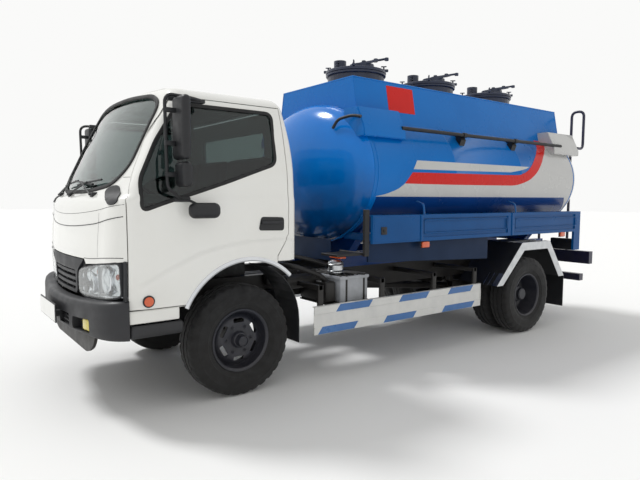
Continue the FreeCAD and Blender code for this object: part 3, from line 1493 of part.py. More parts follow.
def spillBox():
    front = behind(size.BoxFront)
    rear = behind(size.BoxRear)
    lip = size.BoxLip
    wall = size.BoxWall
    slope = (size.BoxBottomHalf - size.BoxTopHalf) / amount(size.BoxTop - size.BoxBottom)
    deep = size.BoxBottom - size.Overrun
    flare = slope * amount(size.Overrun)
    outer = prism("spill_outer", "XZ", (
        (-size.BoxBottomHalf - flare, deep),
        (size.BoxBottomHalf + flare, deep),
        (size.BoxTopHalf, size.BoxTop),
        (-size.BoxTopHalf, size.BoxTop),
    ), front, rear)
    inner = prism("spill_inner", "XZ", (
        (-size.BoxBottomHalf - flare + wall, deep - size.Overrun),
        (size.BoxBottomHalf + flare - wall, deep - size.Overrun),
        (size.BoxTopHalf - wall, size.BoxTop - wall),
        (-size.BoxTopHalf + wall, size.BoxTop - wall),
    ), front + wall, rear - wall)
    mouth = block("spill_mouth", (-size.BoxTopHalf + lip, size.BoxTopHalf - lip),
                  (front + lip, rear - lip), (size.BoxTop - wall * 2,
                                              size.BoxTop + size.Overrun))
    hollow = cut("spill_hollow", outer, fused("spill_room", inner, mouth))
    fitted = cut("spill_fitted", hollow, fused("spill_seat", nodes["tank_barrel"],
                                               doc.getObject("tank_head_rear")))
    keep("spill_box", fitted)

    collars = []
    pitch = (size.CollarRear - size.CollarFront) / 2
    for index, name in enumerate(("front", "middle", "rear")):
        y = behind(size.CollarFront) + pitch * index
        tall = size.CollarTop - size.TankAxisZ
        ring = pipe("collar_outer_" + name, "Z", ZERO, y, size.TankAxisZ,
                    size.CollarRadius, tall, size.CollarSides)
        bore = pipe("collar_bore_" + name, "Z", ZERO, y, size.CollarFloor,
                    size.CollarRadius - size.CollarWall, tall, size.CollarSides)
        hinge = lidLugs(name, y)
        blank = fused("collar_blank_" + name, ring, *hinge)
        collars.append(cut("collar_" + name, blank,
                           fused("collar_cut_" + name, bore, nodes["tank_barrel"])))
        lid(name, y)
    keep("manhole_collars", group("collar_set", *collars))


def lidLugs(name, y):
    """Two lugs with a hinge pin on a collar's kerb side."""
    pinX = -size.CollarRadius - size.LidPinRadius * 6
    pinZ = size.CollarTop + size.Gap + size.LidWall / 2
    reach = size.LidPinRadius * 2
    parts = []
    for side, start in (("front", y - reach - size.Gap - size.LidPinRadius),
                        ("rear", y + reach + size.Gap)):
        ys = (start, start + size.LidPinRadius)
        parts.append(block("lug_foot_%s_%s" % (name, side),
                           (pinX - size.LidPinRadius * 1.6, -size.CollarRadius
                            + size.CollarWall / 2),
                           ys, (size.CollarTop - size.LidWall * 3,
                                size.CollarTop - size.LidPinRadius * 0.6)))
        parts.append(block("lug_tip_%s_%s" % (name, side),
                           (pinX - size.LidPinRadius * 1.6, pinX + size.LidPinRadius * 1.6),
                           ys, (size.CollarTop - size.LidWall * 3,
                                pinZ + size.LidPinRadius * 1.6)))
    span = reach + size.Gap + size.LidPinRadius
    parts.append(shaft("lid_pin_" + name, "Y", pinX, y - span, pinZ, size.LidPinRadius,
                          span * 2))
    return parts


def lid(name, y):
    """Manhole lid with filler cover, breather can and hinge arm."""
    z = size.CollarTop + size.Gap
    top = z + size.LidWall
    plate = pipe("lid_plate_" + name, "Z", ZERO, y, z, size.LidRadius, size.LidWall,
                 size.CollarSides)
    filler = pipe("lid_filler_" + name, "Z", size.LidRadius * 0.3, y, top,
                      size.FillRadius, size.FillHeight)
    vent = pipe("lid_vent_" + name, "Z", -size.LidRadius * 0.4, y - size.LidRadius * 0.35,
                    top, size.VentRadius, size.VentHeight)
    pinX = -size.CollarRadius - size.LidPinRadius * 6
    pinZ = z + size.LidWall / 2
    half = size.LidPinRadius * 2
    arm = block("lid_arm_" + name, (pinX, -size.CollarRadius * 0.8), (y - half, y + half),
                (z, top))
    eye = pipe("lid_eye_" + name, "Y", pinX, y - half, pinZ, size.LidPinRadius * 1.6, half * 2)
    eyeBore = shaft("lid_eye_bore_" + name, "Y", pinX, y - half * 2, pinZ,
                       size.LidPinRadius + size.RunningGap, half * 4)
    lever = block("lid_lever_" + name, (-size.LidRadius * 0.1, size.LidRadius * 1.05),
                  (y - size.LidPinRadius, y + size.LidPinRadius),
                  (top + size.FillHeight, top + size.FillHeight + size.LidWall))
    whole = fused("lid_body_" + name, plate, filler, vent, arm, eye, lever)
    keep("manhole_lid_" + name, cut("lid_bored_" + name, whole, eyeBore))


def shoulders():
    """Corner boxes and tube rails on the tank's shoulders."""
    boxes = []
    spans = (("front", size.ShoulderFrontStart, size.ShoulderFrontEnd),
             ("rear", size.ShoulderRearStart, size.ShoulderRearEnd))
    tankCut = fused("shoulder_seat", nodes["tank_barrel"], doc.getObject("tank_head_front"),
                    doc.getObject("tank_head_rear"), doc.getObject("spill_outer"))
    for name, start, end in spans:
        blank = prism("shoulder_blank_" + name, "XZ", (
            (size.BoxTopHalf, size.ShoulderTop),
            (size.BoxTopHalf, size.ShoulderBottom),
            (size.ShoulderX, size.ShoulderBottom),
            (size.ShoulderX, size.ShoulderBottom + size.BoxLip * 2),
            (size.ShoulderX - size.BoxLip * 3, size.ShoulderTop),
        ), behind(start), behind(end))
        box = cut("shoulder_%s_left" % name, blank, tankCut)
        boxes.append(box)
        boxes.append(mirrored("shoulder_%s_right" % name, box))
    keep("shoulder_boxes", group("shoulder_box_set", *boxes))
    start = behind(size.ShoulderFrontEnd)
    end = behind(size.ShoulderRearStart)
    rail = pipe("shoulder_tube", "Y", size.ShoulderRailX, start, size.ShoulderRailZ,
                size.ShoulderRailRadius, end - start)
    brackets = []
    for index, share in enumerate((0.34, 0.69)):
        y = start + (end - start) * share
        brackets.append(prism("rail_bracket_%d" % (index + 1), "XZ", (
            (size.BoxTopHalf, size.ShoulderRailZ + size.BoxLip * 2.4),
            (size.ShoulderRailX - size.BoxLip * 4, size.ShoulderBottom - size.BoxLip),
            (size.ShoulderRailX + size.ShoulderRailRadius / 2, size.ShoulderRailZ),
        ), y, y + size.BracketWidth))
    bracketCut = cut("rail_bracket_seats", fused("rail_brackets", *brackets), tankCut)
    left = fused("shoulder_rail_left", rail, bracketCut)
    keep("shoulder_rails", group("shoulder_rail_pair", left,
                                 mirrored("shoulder_rail_right", left)))


# Side panels and guards

PANEL_SHARES = ((0.175, 0.565), (0.60, 0.965))


def sidePanels():
    front = behind(size.PanelFront)
    length = size.PanelRear - size.PanelFront
    rear = behind(size.PanelRear)
    inner = size.PanelX - size.PanelWall
    sheetBar = prism("panel_sheet", "YZ", (
        (front, size.PanelBottom),
        (rear - size.PanelTail, size.PanelBottom),
        (rear - size.PanelTail, size.PanelBottom - size.PanelTailDrop),
        (rear, size.PanelBottom - size.PanelTailDrop),
        (rear, size.PanelTop),
        (front, size.PanelTop),
    ), inner, size.PanelX)
    fold = block("panel_fold", (size.PanelX - size.PanelReturn, inner), (front, rear),
                 (size.PanelTop - size.BracketWidth, size.PanelTop))
    recesses = []
    for index, (start, end) in enumerate(PANEL_SHARES):
        recesses.append(block("panel_recess_%d" % (index + 1),
                              (size.PanelX - size.RecessDepth, size.PanelX + size.Overrun),
                              (front + length * start, front + length * end),
                              (size.PanelBottom + size.PanelFrame,
                               size.PanelTop - size.PanelFrame)))
    hollowed = cut("panel_hollowed", sheetBar, fused("panel_recesses", *recesses))
    brackets = []
    for index, share in enumerate(SADDLE_SHARES):
        y = front + length * (share * 0.98)
        brackets.append(block("panel_bracket_%d" % (index + 1),
                              (size.SaddleHalf, inner),
                              (y, y + size.BracketWidth * 4),
                              (size.PanelBottom + size.BracketWidth,
                               size.PanelBottom + size.BracketWidth * 7)))
    held = cut("panel_brackets", fused("panel_bracket_set", *brackets),
               fused("panel_bracket_seat", nodes["tank_barrel"], nodes["tank_saddles"]))
    left = fused("side_panel_left", hollowed, fold, held)
    keep("side_panels", group("side_panel_pair", left, mirrored("side_panel_right", left)))


def sideGuards():
    front = behind(size.GuardFront)
    rear = behind(size.GuardRear)
    xs = (size.GuardX - size.GuardWall, size.GuardX)
    board = block("guard_board_blank", xs, (front, rear), (size.GuardBottom, size.GuardTop))
    groove = block("guard_groove", (size.GuardX - size.GuardWall / 4,
                                    size.GuardX + size.Overrun),
                   (front - size.Overrun, rear + size.Overrun),
                   (size.GuardBottom + size.GuardRailHeight,
                    size.GuardTop - size.GuardRailHeight))
    parts = [cut("guard_board", board, groove)]
    for index, share in enumerate((0.0, 0.5, 0.90)):
        y = front + (size.GuardRear - size.GuardFront) * share
        parts.append(block("guard_post_%d" % (index + 1),
                           (size.GuardX - size.GuardWall * 2, size.GuardX - size.GuardWall),
                           (y, y + size.GuardPostWidth), (size.GuardBottom,
                                                          size.RailTop - size.GuardArmHeight)))
        parts.append(block("guard_arm_%d" % (index + 1),
                           (size.RailOuterX, size.GuardX - size.GuardWall),
                           (y, y + size.GuardPostWidth),
                           (size.RailTop - size.GuardArmHeight * 2,
                            size.RailTop - size.GuardArmHeight)))
    left = fused("side_guard_left", *parts)
    keep("side_guards", group("side_guard_pair", left, mirrored("side_guard_right", left)))


# Rear end

def rearEnd():
    rear = rearAxleY + size.RearOverhang
    upper = block("upper_bar", (-size.BarHalf, size.BarHalf), (rear - size.BarDepth, rear),
                  (size.BarBottom, size.BarTop))
    lower = block("lower_bar", (-size.BarHalf, size.BarHalf),
                  (behind(size.LowBarRear) - size.BarDepth, behind(size.LowBarRear)),
                  (size.LowBarZ - size.LowBarHeight / 2, size.LowBarZ + size.LowBarHeight / 2))
    arms = []
    for side, sign in (("left", 1), ("right", -1)):
        xs = (size.RailOuterX - size.RailFlange, size.RailOuterX)
        if sign < 0:
            xs = (-xs[1], -xs[0])
        arms.append(block("upper_arm_" + side, xs,
                          (behind(size.RailRear), rear - size.BarDepth),
                          (size.BarBottom, size.BarTop)))
        arms.append(block("lower_arm_" + side, xs,
                          (behind(size.LowBarRear) - size.BarDepth, behind(size.LowBarRear)),
                          (size.LowBarZ, size.RailTop - size.RailHeight)))
    keep("rear_underrun", group("underrun_set",
                                fused("underrun_upper", upper, arms[0], arms[2]),
                                fused("underrun_lower", lower, arms[1], arms[3])))
    lamps = []
    for side, sign in (("left", 1), ("right", -1)):
        outer = size.PanelX - size.PanelWall - size.Gap
        xs = (outer - size.LampWidth, outer)
        if sign < 0:
            xs = (-xs[1], -xs[0])
        face = behind(size.PanelRear) - size.LampDepth / 4
        lamps.append(block("rear_lamp_" + side, xs, (face - size.LampDepth, face),
                           (size.PanelBottom - size.PanelTailDrop,
                            size.PanelBottom - size.PanelTailDrop + size.LampHeight)))
    keep("rear_lamps", group("rear_lamp_pair", *lamps))
    ladder()


def ladder():
    """Two tube rails that curl over onto the spill box, with rungs."""
    y = behind(size.LadderY)
    inner = size.LadderX - size.LadderHalf
    outer = size.LadderX + size.LadderHalf
    last = size.BoxTop - size.BoxLip * 6
    parts = rodChain("ladder_rail_inner", size.LadderRadius, (inner, y, size.BarTop),
                     (inner, y, last), (inner, behind(size.BoxRear), last))
    hoop = outer + size.HoopWidth
    parts += rodChain("ladder_rail_outer", size.LadderRadius, (outer, y, size.BarTop),
                      (outer, y, size.LadderTop), (hoop, y, size.LadderTop),
                      (hoop, y, size.ShoulderRailZ), (hoop, behind(size.ShoulderRearEnd),
                                                      size.ShoulderRailZ))
    z = size.BarTop + size.RungPitch
    index = 0
    while amount(z) < amount(last):
        index += 1
        parts.append(bar("ladder_rung_%d" % index, (size.LadderX - size.LadderHalf, y, z),
                         (size.LadderX + size.LadderHalf, y, z), size.LadderRadius * 0.8))
        z = z + size.RungPitch
    keep("ladder", fused("ladder_body", *parts))


# Boxes and pipes on the frame

def frameBoxes():
    keep("battery_box", block("battery_body", (size.RailOuterX, size.BatteryX),
                              (behind(size.BatteryFront), behind(size.BatteryRear)),
                              (size.BatteryBottom, size.BatteryTop - size.CabWall)))
    tankX = (-size.FuelX, -size.RailOuterX)
    keep("fuel_tank", block("fuel_body", tankX, (behind(size.FuelFront), behind(size.FuelRear)),
                            (size.FuelBottom, size.FuelTop - size.CabWall)))
    keep("exhaust_silencer", fused(
        "exhaust_body",
        pipe("silencer_can", "Y", -size.RailOuterX - size.ExhaustRadius,
                 behind(size.FuelRear) + size.ExhaustRadius,
                 size.RailTop - size.RailHeight,
                 size.ExhaustRadius, size.ExhaustLength),
        pipe("tail_pipe", "Y", -size.RailOuterX - size.ExhaustRadius,
                 behind(size.FuelRear) + size.ExhaustRadius + size.ExhaustLength,
                 size.RailTop - size.RailHeight,
                 size.ExhaustRadius / 3, size.ExhaustRadius)))
    discharge()


def discharge():
    """Manifold under the tank with three outlets that face the kerb.

    Each outlet is a bored nozzle that is bolted, flange to flange, to its closed pipe."""
    outer = size.OutletRadius + size.OutletWall
    flange = size.OutletWall * 2
    z = size.OutletZ
    start = behind(size.OutletFront)
    mouth = -size.OutletX
    joint = mouth + size.OutletDepth + size.Gap
    pipes = []
    nozzles = []
    for index in range(3):
        y = start + size.OutletPitch * index
        number = index + 1
        pipes.append(pipe("outlet_pipe_%d" % number, "X", joint, y, z, outer,
                          -size.SaddleHalf - joint))
        pipes.append(pipe("outlet_seat_%d" % number, "X", joint, y, z, outer * 1.5, flange))
        pipes.append(pipe("outlet_riser_%d" % number, "Z", -size.SaddleHalf - outer, y, z, outer,
                          size.TankAxisZ - size.TankHalfHeight * 0.7 - z))
        nozzle = fused("nozzle_blank_%d" % number,
                       pipe("nozzle_barrel_%d" % number, "X", mouth, y, z, outer,
                            size.OutletDepth),
                       pipe("nozzle_lip_%d" % number, "X", mouth, y, z, outer * 1.5, flange),
                       pipe("nozzle_foot_%d" % number, "X", joint - size.Gap - flange, y, z,
                            outer * 1.5, flange))
        bore = shaft("nozzle_bore_%d" % number, "X", mouth - size.Overrun, y, z,
                     size.OutletRadius, size.OutletDepth + size.Overrun * 2)
        nozzles.append(cut("nozzle_%d" % number, nozzle, bore))
    manifold = pipe("manifold", "Y", -size.SaddleHalf - outer, start - outer, z, outer,
                    size.OutletPitch * 2 + outer * 2)
    body = cut("manifold_body", fused("manifold_blank", manifold, *pipes),
               nodes["tank_barrel"])
    keep("discharge_pipes", group("discharge_set", body, *nozzles))


def mirrors():
    """Mirror stay, main mirror, wide mirror and kerb mirror on a door."""
    x = size.CabHalfWidth
    stay = size.FlangeWidth
    out = size.CabWall * 2.6
    topZ = size.RoofLine - size.CabWall * 0.7
    lowZ = size.BeltZ
    y = ahead(size.DoorFront) + size.CabWall * 4.6
    topY = y + size.CabWall * 4
    pole = x + out
    half = size.CabWall * 1.0
    rods = rodChain("mirror_stay", stay,
                    (x - size.CabWall * 2.2, topY, topZ), (pole, y, topZ), (pole, y, lowZ),
                    (x - size.CabWall * 0.1, y + size.CabWall, lowZ - size.CabWall))
    arm = bar("mirror_arm", (pole, y, lowZ + size.CabWall),
              (pole - size.CabWall, y + size.CabWall * 4, lowZ - size.CabWall * 0.3),
              stay * 0.8)
    main = block("mirror_main", (pole - half * 1.4, pole + half * 1.4),
                 (y - half * 0.5, y + half * 0.4),
                 (topZ - size.CabWall * 8.4, topZ - size.CabWall * 0.5))
    wideMirror = block("mirror_wide", (pole - half * 1.3, pole + half * 1.3),
                       (y - half * 0.5, y + half * 0.4),
                       (lowZ + size.CabWall * 1.8, topZ - size.CabWall * 8.9))
    kerb = block("mirror_kerb", (pole - size.CabWall * 2, pole - size.CabWall * 0.2),
                 (y + size.CabWall * 2, y + size.CabWall * 5.6),
                 (lowZ - size.CabWall, lowZ - size.CabWall * 0.2))
    doorShape = nodes["door_left"]
    left = cut("mirror_set_left", fused("mirror_blank_left", arm, main, wideMirror, kerb, *rods),
               doorShape)
    keep("mirrors_left", left)
    keep("mirrors_right", mirrored("mirror_set_right", left))


def main():
    wheels()
    frameRails()
    crossmembers()
    frontAxle()
    knuckle("left", 1)
    knuckle("right", -1)
    tieRod()
    springs()
    rearAxle()
    driveline()
    cabShell()
    doc.recompute()
    steeringWheel()
    mirrors()
    bumper()
    mudguards()
    tank()
    sidePanels()
    sideGuards()
    rearEnd()
    frameBoxes()
    doc.recompute()

    for item in doc.Objects:
        if "Invalid" in item.State or "Error" in item.State:
            raise RuntimeError("%s failed: %s" % (item.Label, item.State))
    os.makedirs("parts", exist_ok=True)
    for name, item in nodes.items():
        shape = item.Shape
        if shape.isNull() or not shape.isValid() or not shape.Solids:
            raise RuntimeError(name + " has no valid shape")
    for name, item in nodes.items():
        item.Shape.exportStep(os.path.join("parts", name + ".step"))
    print("%d pieces" % len(nodes))


main()
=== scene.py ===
import math

import bmesh
import bpy
from mathutils import Matrix, Vector
from mathutils.bvhtree import BVHTree


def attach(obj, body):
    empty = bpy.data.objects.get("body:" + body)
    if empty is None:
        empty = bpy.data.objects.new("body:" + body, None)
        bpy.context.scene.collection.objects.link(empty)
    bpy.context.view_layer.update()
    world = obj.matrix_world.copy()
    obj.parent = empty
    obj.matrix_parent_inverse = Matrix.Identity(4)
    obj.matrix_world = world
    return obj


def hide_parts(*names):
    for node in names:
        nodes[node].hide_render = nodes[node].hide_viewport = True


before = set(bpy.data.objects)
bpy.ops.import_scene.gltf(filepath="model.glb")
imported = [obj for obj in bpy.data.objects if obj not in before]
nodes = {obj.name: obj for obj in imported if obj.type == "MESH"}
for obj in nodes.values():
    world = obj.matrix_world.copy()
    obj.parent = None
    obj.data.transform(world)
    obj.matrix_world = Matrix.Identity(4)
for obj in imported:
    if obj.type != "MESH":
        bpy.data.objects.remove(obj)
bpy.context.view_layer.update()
axleFront = -1.835  # y of the front axle; the truck faces -y
axleRear = 1.545
wheelZ = 0.402
leftAndRight = (("left", 1), ("right", -1))


# The y of a place that far behind the front axle, in metres
def along(distance):
    return axleFront + distance


# Points of a side view: distance behind the front axle and height
def sideView(points):
    return [(along(distance), z) for distance, z in points]


# Node and material helpers

def colour(hexText):
    channels = []
    for start in (1, 3, 5):
        value = int(hexText[start:start + 2], 16) / 255
        channels.append(value / 12.92 if value <= 0.04045 else ((value + 0.055) / 1.055) ** 2.4)
    return (*channels, 1.0)


def addNode(tree, kind, values=None, links=None, **settings):
    node = tree.nodes.new(kind)
    for key, value in settings.items():
        setattr(node, key, value)
    for key, value in (values or {}).items():
        node.inputs[key].default_value = value
    for key, source in (links or {}).items():
        tree.links.new(source, node.inputs[key])
    return node


# A material from one dictionary: colour, its variation, grain, gloss, and a darkening low down that is
# road dust on most finishes and painted shade on the front head
def finish(name, look):
    material = bpy.data.materials.new(name)
    material.use_nodes = True
    tree = material.node_tree
    tree.nodes.clear()
    out = addNode(tree, "ShaderNodeOutputMaterial")
    shader = addNode(tree, "ShaderNodeBsdfPrincipled", {
        "Metallic": look.get("metallic", 0.0),
        "Coat Weight": look.get("coat", 0.0),
        "Coat Roughness": look.get("coatRoughness", 0.06),
        "Sheen Weight": look.get("sheen", 0.0),
        "Transmission Weight": look.get("transmission", 0.0),
        "Specular IOR Level": look.get("specular", 0.5),
        "Roughness": look["roughness"],
    })
    if not look.get("metallic"):
        shader.inputs["IOR"].default_value = look.get("ior", 1.45)
    tree.links.new(shader.outputs["BSDF"], out.inputs["Surface"])
    place = addNode(tree, "ShaderNodeTexCoord").outputs["Object"]
    base = colour(look["hex"])
    shader.inputs["Base Color"].default_value = base
    if "otherHex" in look:  # slow change of tone over the surface
        cloud = addNode(tree, "ShaderNodeTexNoise",
                        {"Scale": 1000 / look["patchMm"], "Detail": 4.0, "Roughness": 0.6},
                        {"Vector": place})
        share = addNode(tree, "ShaderNodeMapRange",
                        {"From Min": 0.35, "From Max": 0.7, "To Max": look.get("patch", 0.5)},
                        {"Value": cloud.outputs["Fac"]})
        tone = addNode(tree, "ShaderNodeMix", {"A": base, "B": colour(look["otherHex"])},
                       {"Factor": share.outputs["Result"]}, data_type="RGBA")
        toned = tone.outputs["Result"]
        if "dustAndShadeHex" in look:  # road dust, most of it low down; on the front head it is painted shade instead
            parts = addNode(tree, "ShaderNodeSeparateXYZ", links={"Vector": place})
            low = addNode(tree, "ShaderNodeMapRange",
                          {"From Min": look["dustAndShadeTop"], "From Max": look["dustAndShadeTop"] - 0.6,
                           "To Max": look["dustAndShade"]}, {"Value": parts.outputs["Z"]})
            dustAndShadeMask = addNode(tree, "ShaderNodeMath", links={0: low.outputs["Result"],
                                                           1: cloud.outputs["Fac"]},
                             operation="MULTIPLY")
            dustedAndShaded = addNode(tree, "ShaderNodeMix", {"B": colour(look["dustAndShadeHex"])},
                            {"Factor": dustAndShadeMask.outputs["Value"], "A": toned}, data_type="RGBA")
            toned = dustedAndShaded.outputs["Result"]
        tree.links.new(toned, shader.inputs["Base Color"])
        gloss = addNode(tree, "ShaderNodeMapRange",
                        {"From Min": 0.3, "From Max": 0.7, "To Min": look["roughness"] * 0.8,
                         "To Max": min(1.0, look["roughness"] * 1.25)},
                        {"Value": cloud.outputs["Fac"]})
        tree.links.new(gloss.outputs["Result"], shader.inputs["Roughness"])
    if "grainMm" in look:
        grain = addNode(tree, "ShaderNodeTexNoise",
                        {"Scale": 1000 / look["grainMm"], "Detail": 2.0}, {"Vector": place})
        bump = addNode(tree, "ShaderNodeBump",
                       {"Strength": look.get("grain", 0.2), "Distance": look["depthMm"] / 1000},
                       {"Height": grain.outputs["Fac"]})
        tree.links.new(bump.outputs["Normal"], shader.inputs["Normal"])
    return material


# What each real finish is. Scales are in millimetres.
looks = {
    # baked alkyd enamel over pressed steel: even, glossy, a slight orange peel
    "enamelCabWhite": dict(hex="#EFEFEB", otherHex="#E6E5DF", patchMm=700, roughness=0.22,
                           coat=0.6, grainMm=9, depthMm=0.05, grain=0.15,
                           dustAndShadeHex="#A39A8A", dustAndShadeTop=1.1, dustAndShade=0.12),
    "enamelTankBlue": dict(hex="#0070C2", otherHex="#0064B2", patchMm=600, roughness=0.26,
                           specular=0.2, coat=0.1, grainMm=12, depthMm=0.08,
                           dustAndShadeHex="#6F7C8C", dustAndShadeTop=1.3, dustAndShade=0.05),
    # front head: the deep navy over its lower part is painted shade, not dust
    "enamelHeadBlue": dict(hex="#0078D2", otherHex="#006CC4", patchMm=500, roughness=0.16,
                           specular=0.25, coat=0.25, coatRoughness=0.04, grainMm=14,
                           depthMm=0.08, dustAndShadeHex="#04183A", dustAndShadeTop=1.75, dustAndShade=1.5),
    # a darker copy of the tank blue: painted shade below the livery line, also given to the saddles under
    # the tank
    "enamelBlueInPaintedShade": dict(hex="#04397C", otherHex="#032F69", patchMm=400, patch=0.6, roughness=0.24,
                           specular=0.25, coat=0.1, grainMm=12, depthMm=0.08),
    "enamelPanelBlue": dict(hex="#00508E", otherHex="#00457E", patchMm=300, patch=0.6,
                            roughness=0.3, specular=0.2, coat=0.06, grainMm=10, depthMm=0.06,
                            dustAndShadeHex="#5B6C80", dustAndShadeTop=1.3, dustAndShade=0.06),
    "enamelApronBlue": dict(hex="#0A2748", otherHex="#081F3A", patchMm=300, patch=0.6,
                            roughness=0.4, specular=0.2, grainMm=10, depthMm=0.06),
    "enamelPaleGrey": dict(hex="#C2C2C0", otherHex="#B6B6B5", patchMm=400,
                           roughness=0.26, coat=0.5, grainMm=11, depthMm=0.06),
    "enamelStripeRed": dict(hex="#D41C16", otherHex="#C41812", patchMm=400,
                            roughness=0.26, specular=0.2, coat=0.1, grainMm=11,
                            depthMm=0.05, grain=0.15),
    "enamelHatchSlate": dict(hex="#273149", otherHex="#1F2639", patchMm=120, patch=0.7,
                             roughness=0.36, coat=0.15, grainMm=6, depthMm=0.1, grain=0.3),
    "enamelNavy": dict(hex="#16193A", otherHex="#101228", patchMm=150, patch=0.6, roughness=0.36,
                       coat=0.2, grainMm=6, depthMm=0.08, grain=0.3,
                       dustAndShadeHex="#6B665E", dustAndShadeTop=1.0, dustAndShade=0.3),
    # chassis lacquer: brushed on, satin, dusty
    "lacquerChassis": dict(hex="#101013", otherHex="#19191B", patchMm=120, patch=0.8,
                           roughness=0.5, grainMm=4, depthMm=0.15, grain=0.4,
                           dustAndShadeHex="#6A6256", dustAndShadeTop=1.1, dustAndShade=0.18),
    # vulcanised rubber: matt, greyed by dust
    "rubberTyre": dict(hex="#141517", otherHex="#1C1C1E", patchMm=60, patch=0.7, roughness=0.85,
                       sheen=0.1, grainMm=3, depthMm=0.25, grain=0.5,
                       dustAndShadeHex="#6B6459", dustAndShadeTop=0.9, dustAndShade=0.08),
    "rubberSeal": dict(hex="#161617", otherHex="#202022", patchMm=50, patch=0.6, roughness=0.62,
                       grainMm=2, depthMm=0.05, grain=0.3),
    # painted pressed steel wheel
    "enamelWheel": dict(hex="#1E222D", otherHex="#282C37", patchMm=70, patch=0.7, roughness=0.42,
                        coat=0.15, grainMm=5, depthMm=0.08, grain=0.3,
                        dustAndShadeHex="#75695A", dustAndShadeTop=0.8, dustAndShade=0.18),
    # injection moulded polypropylene, grained
    "plasticBumper": dict(hex="#28292D", otherHex="#222326", patchMm=160, patch=0.7,
                          roughness=0.5, grainMm=2, depthMm=0.12, grain=0.5,
                          dustAndShadeHex="#6F695F", dustAndShadeTop=0.9, dustAndShade=0.12),
    "plasticBlack": dict(hex="#1B1C1F", otherHex="#26272A", patchMm=80, patch=0.7, roughness=0.46,
                         grainMm=2, depthMm=0.1, grain=0.4),
    "plasticCabInside": dict(hex="#1D1D20", otherHex="#18181A", patchMm=200, patch=0.6,
                             roughness=0.6, grainMm=2, depthMm=0.1, grain=0.5),
    "plasticBatteryGrey": dict(hex="#AEB1B6", otherHex="#97999D", patchMm=90, patch=0.7,
                               roughness=0.5, grainMm=3, depthMm=0.08, grain=0.3),
    # woven polyester seat cloth: threads about 1 mm, drawn at 4 mm so that they show
    "clothSeat": dict(hex="#3A3B40", otherHex="#2B2C30", patchMm=14, patch=0.9, roughness=0.9,
                      sheen=0.4, grainMm=4, depthMm=0.4, grain=0.6),
    # rolled aluminium plate, dulled by weather
    "aluminiumPlate": dict(hex="#C9CBCD", otherHex="#B4B7BA", patchMm=60, patch=0.6,
                           metallic=1.0, roughness=0.34, grainMm=3, depthMm=0.06, grain=0.3),
    # chrome-plated trim: a bright, sharp mirror
    "chromeTrim": dict(hex="#D4D6D9", otherHex="#C2C5C9", patchMm=90, metallic=1.0,
                       roughness=0.12, grainMm=8, depthMm=0.03, grain=0.1),
    # bare steel tube, browned by heat
    "steelExhaust": dict(hex="#77716A", otherHex="#5C5148", patchMm=80, patch=0.8, metallic=1.0,
                         roughness=0.5, grainMm=3, depthMm=0.1, grain=0.4),
    # sand-cast iron: dark, rough and uneven
    "ironEngine": dict(hex="#3A3B3C", otherHex="#2A2A2A", patchMm=50, patch=0.8, metallic=0.4,
                       roughness=0.6, grainMm=3, depthMm=0.3, grain=0.6),
    # brushed enamel on the guard boards and their blocks: softer gloss than the cab's
    "enamelGuardGrey": dict(hex="#DDDDDA", otherHex="#CECFCE", patchMm=120, patch=0.6,
                            roughness=0.34, coat=0.2, grainMm=6, depthMm=0.06,
                            dustAndShadeHex="#857D70", dustAndShadeTop=0.9, dustAndShade=0.12),
    "enamelGuardBlue": dict(hex="#3F70AC", otherHex="#36639A", patchMm=120, patch=0.6,
                            roughness=0.34, coat=0.2, grainMm=6, depthMm=0.06),
    # moulded acrylic lamp lenses: clear gloss over a fine prism pattern
    "acrylicAmber": dict(hex="#DC5C26", otherHex="#C84E1C", patchMm=20, roughness=0.15,
                         coat=0.8, grainMm=5, depthMm=0.2, grain=0.4),
    "acrylicYellow": dict(hex="#D9C63A", otherHex="#C4AF2A", patchMm=20,
                          roughness=0.18, coat=0.8, grainMm=6, depthMm=0.3, grain=0.4),
    "acrylicRed": dict(hex="#B5201C", otherHex="#9A1814", patchMm=20, roughness=0.16,
                       coat=0.8, grainMm=5, depthMm=0.2, grain=0.4),
    # painted pressed sheet: even, half matt
    "plateSheet": dict(hex="#F2F2EF", otherHex="#E6E6E2", patchMm=90, patch=0.4, roughness=0.4,
                       coat=0.3, grainMm=5, depthMm=0.03),
    # silvered glass and metal-coated reflectors: near mirrors
    "glassMirror": dict(hex="#E6EAEC", metallic=1.0, roughness=0.03),
    "reflectorChrome": dict(hex="#E9EBEE", otherHex="#DADCE0", patchMm=30, metallic=1.0,
                            roughness=0.16),
    # float glass, slightly green, and clear lens plastic; the door glass is much darker, a painted shade
    # standing in for the dark cab inside
    "glassPane": dict(hex="#B7C7C4", transmission=1.0, roughness=0.02, ior=1.5),
    "glassDoorPaintedShade": dict(hex="#596766", transmission=1.0, roughness=0.02, ior=1.5),
    "acrylicLens": dict(hex="#F1F4F4", transmission=0.92, roughness=0.05, ior=1.45),
}
finishes = {name: finish(name, look) for name, look in looks.items()}
print("finishes", len(finishes))


# Mesh helpers

# Smooth shading, with sharp edges where faces meet at more than an angle
def smoothEdges(mesh, degrees):
    work = bmesh.new()
    work.from_mesh(mesh)
    bmesh.ops.recalc_face_normals(work, faces=work.faces)
    limit = math.radians(degrees)
    for face in work.faces:
        face.smooth = True
    for edge in work.edges:
        edge.smooth = len(edge.link_faces) == 2 and edge.calc_face_angle(0.0) < limit
    work.to_mesh(mesh)
    work.free()


def linked(name, mesh):
    item = bpy.data.objects.new(name, mesh)
    bpy.context.scene.collection.objects.link(item)
    return item


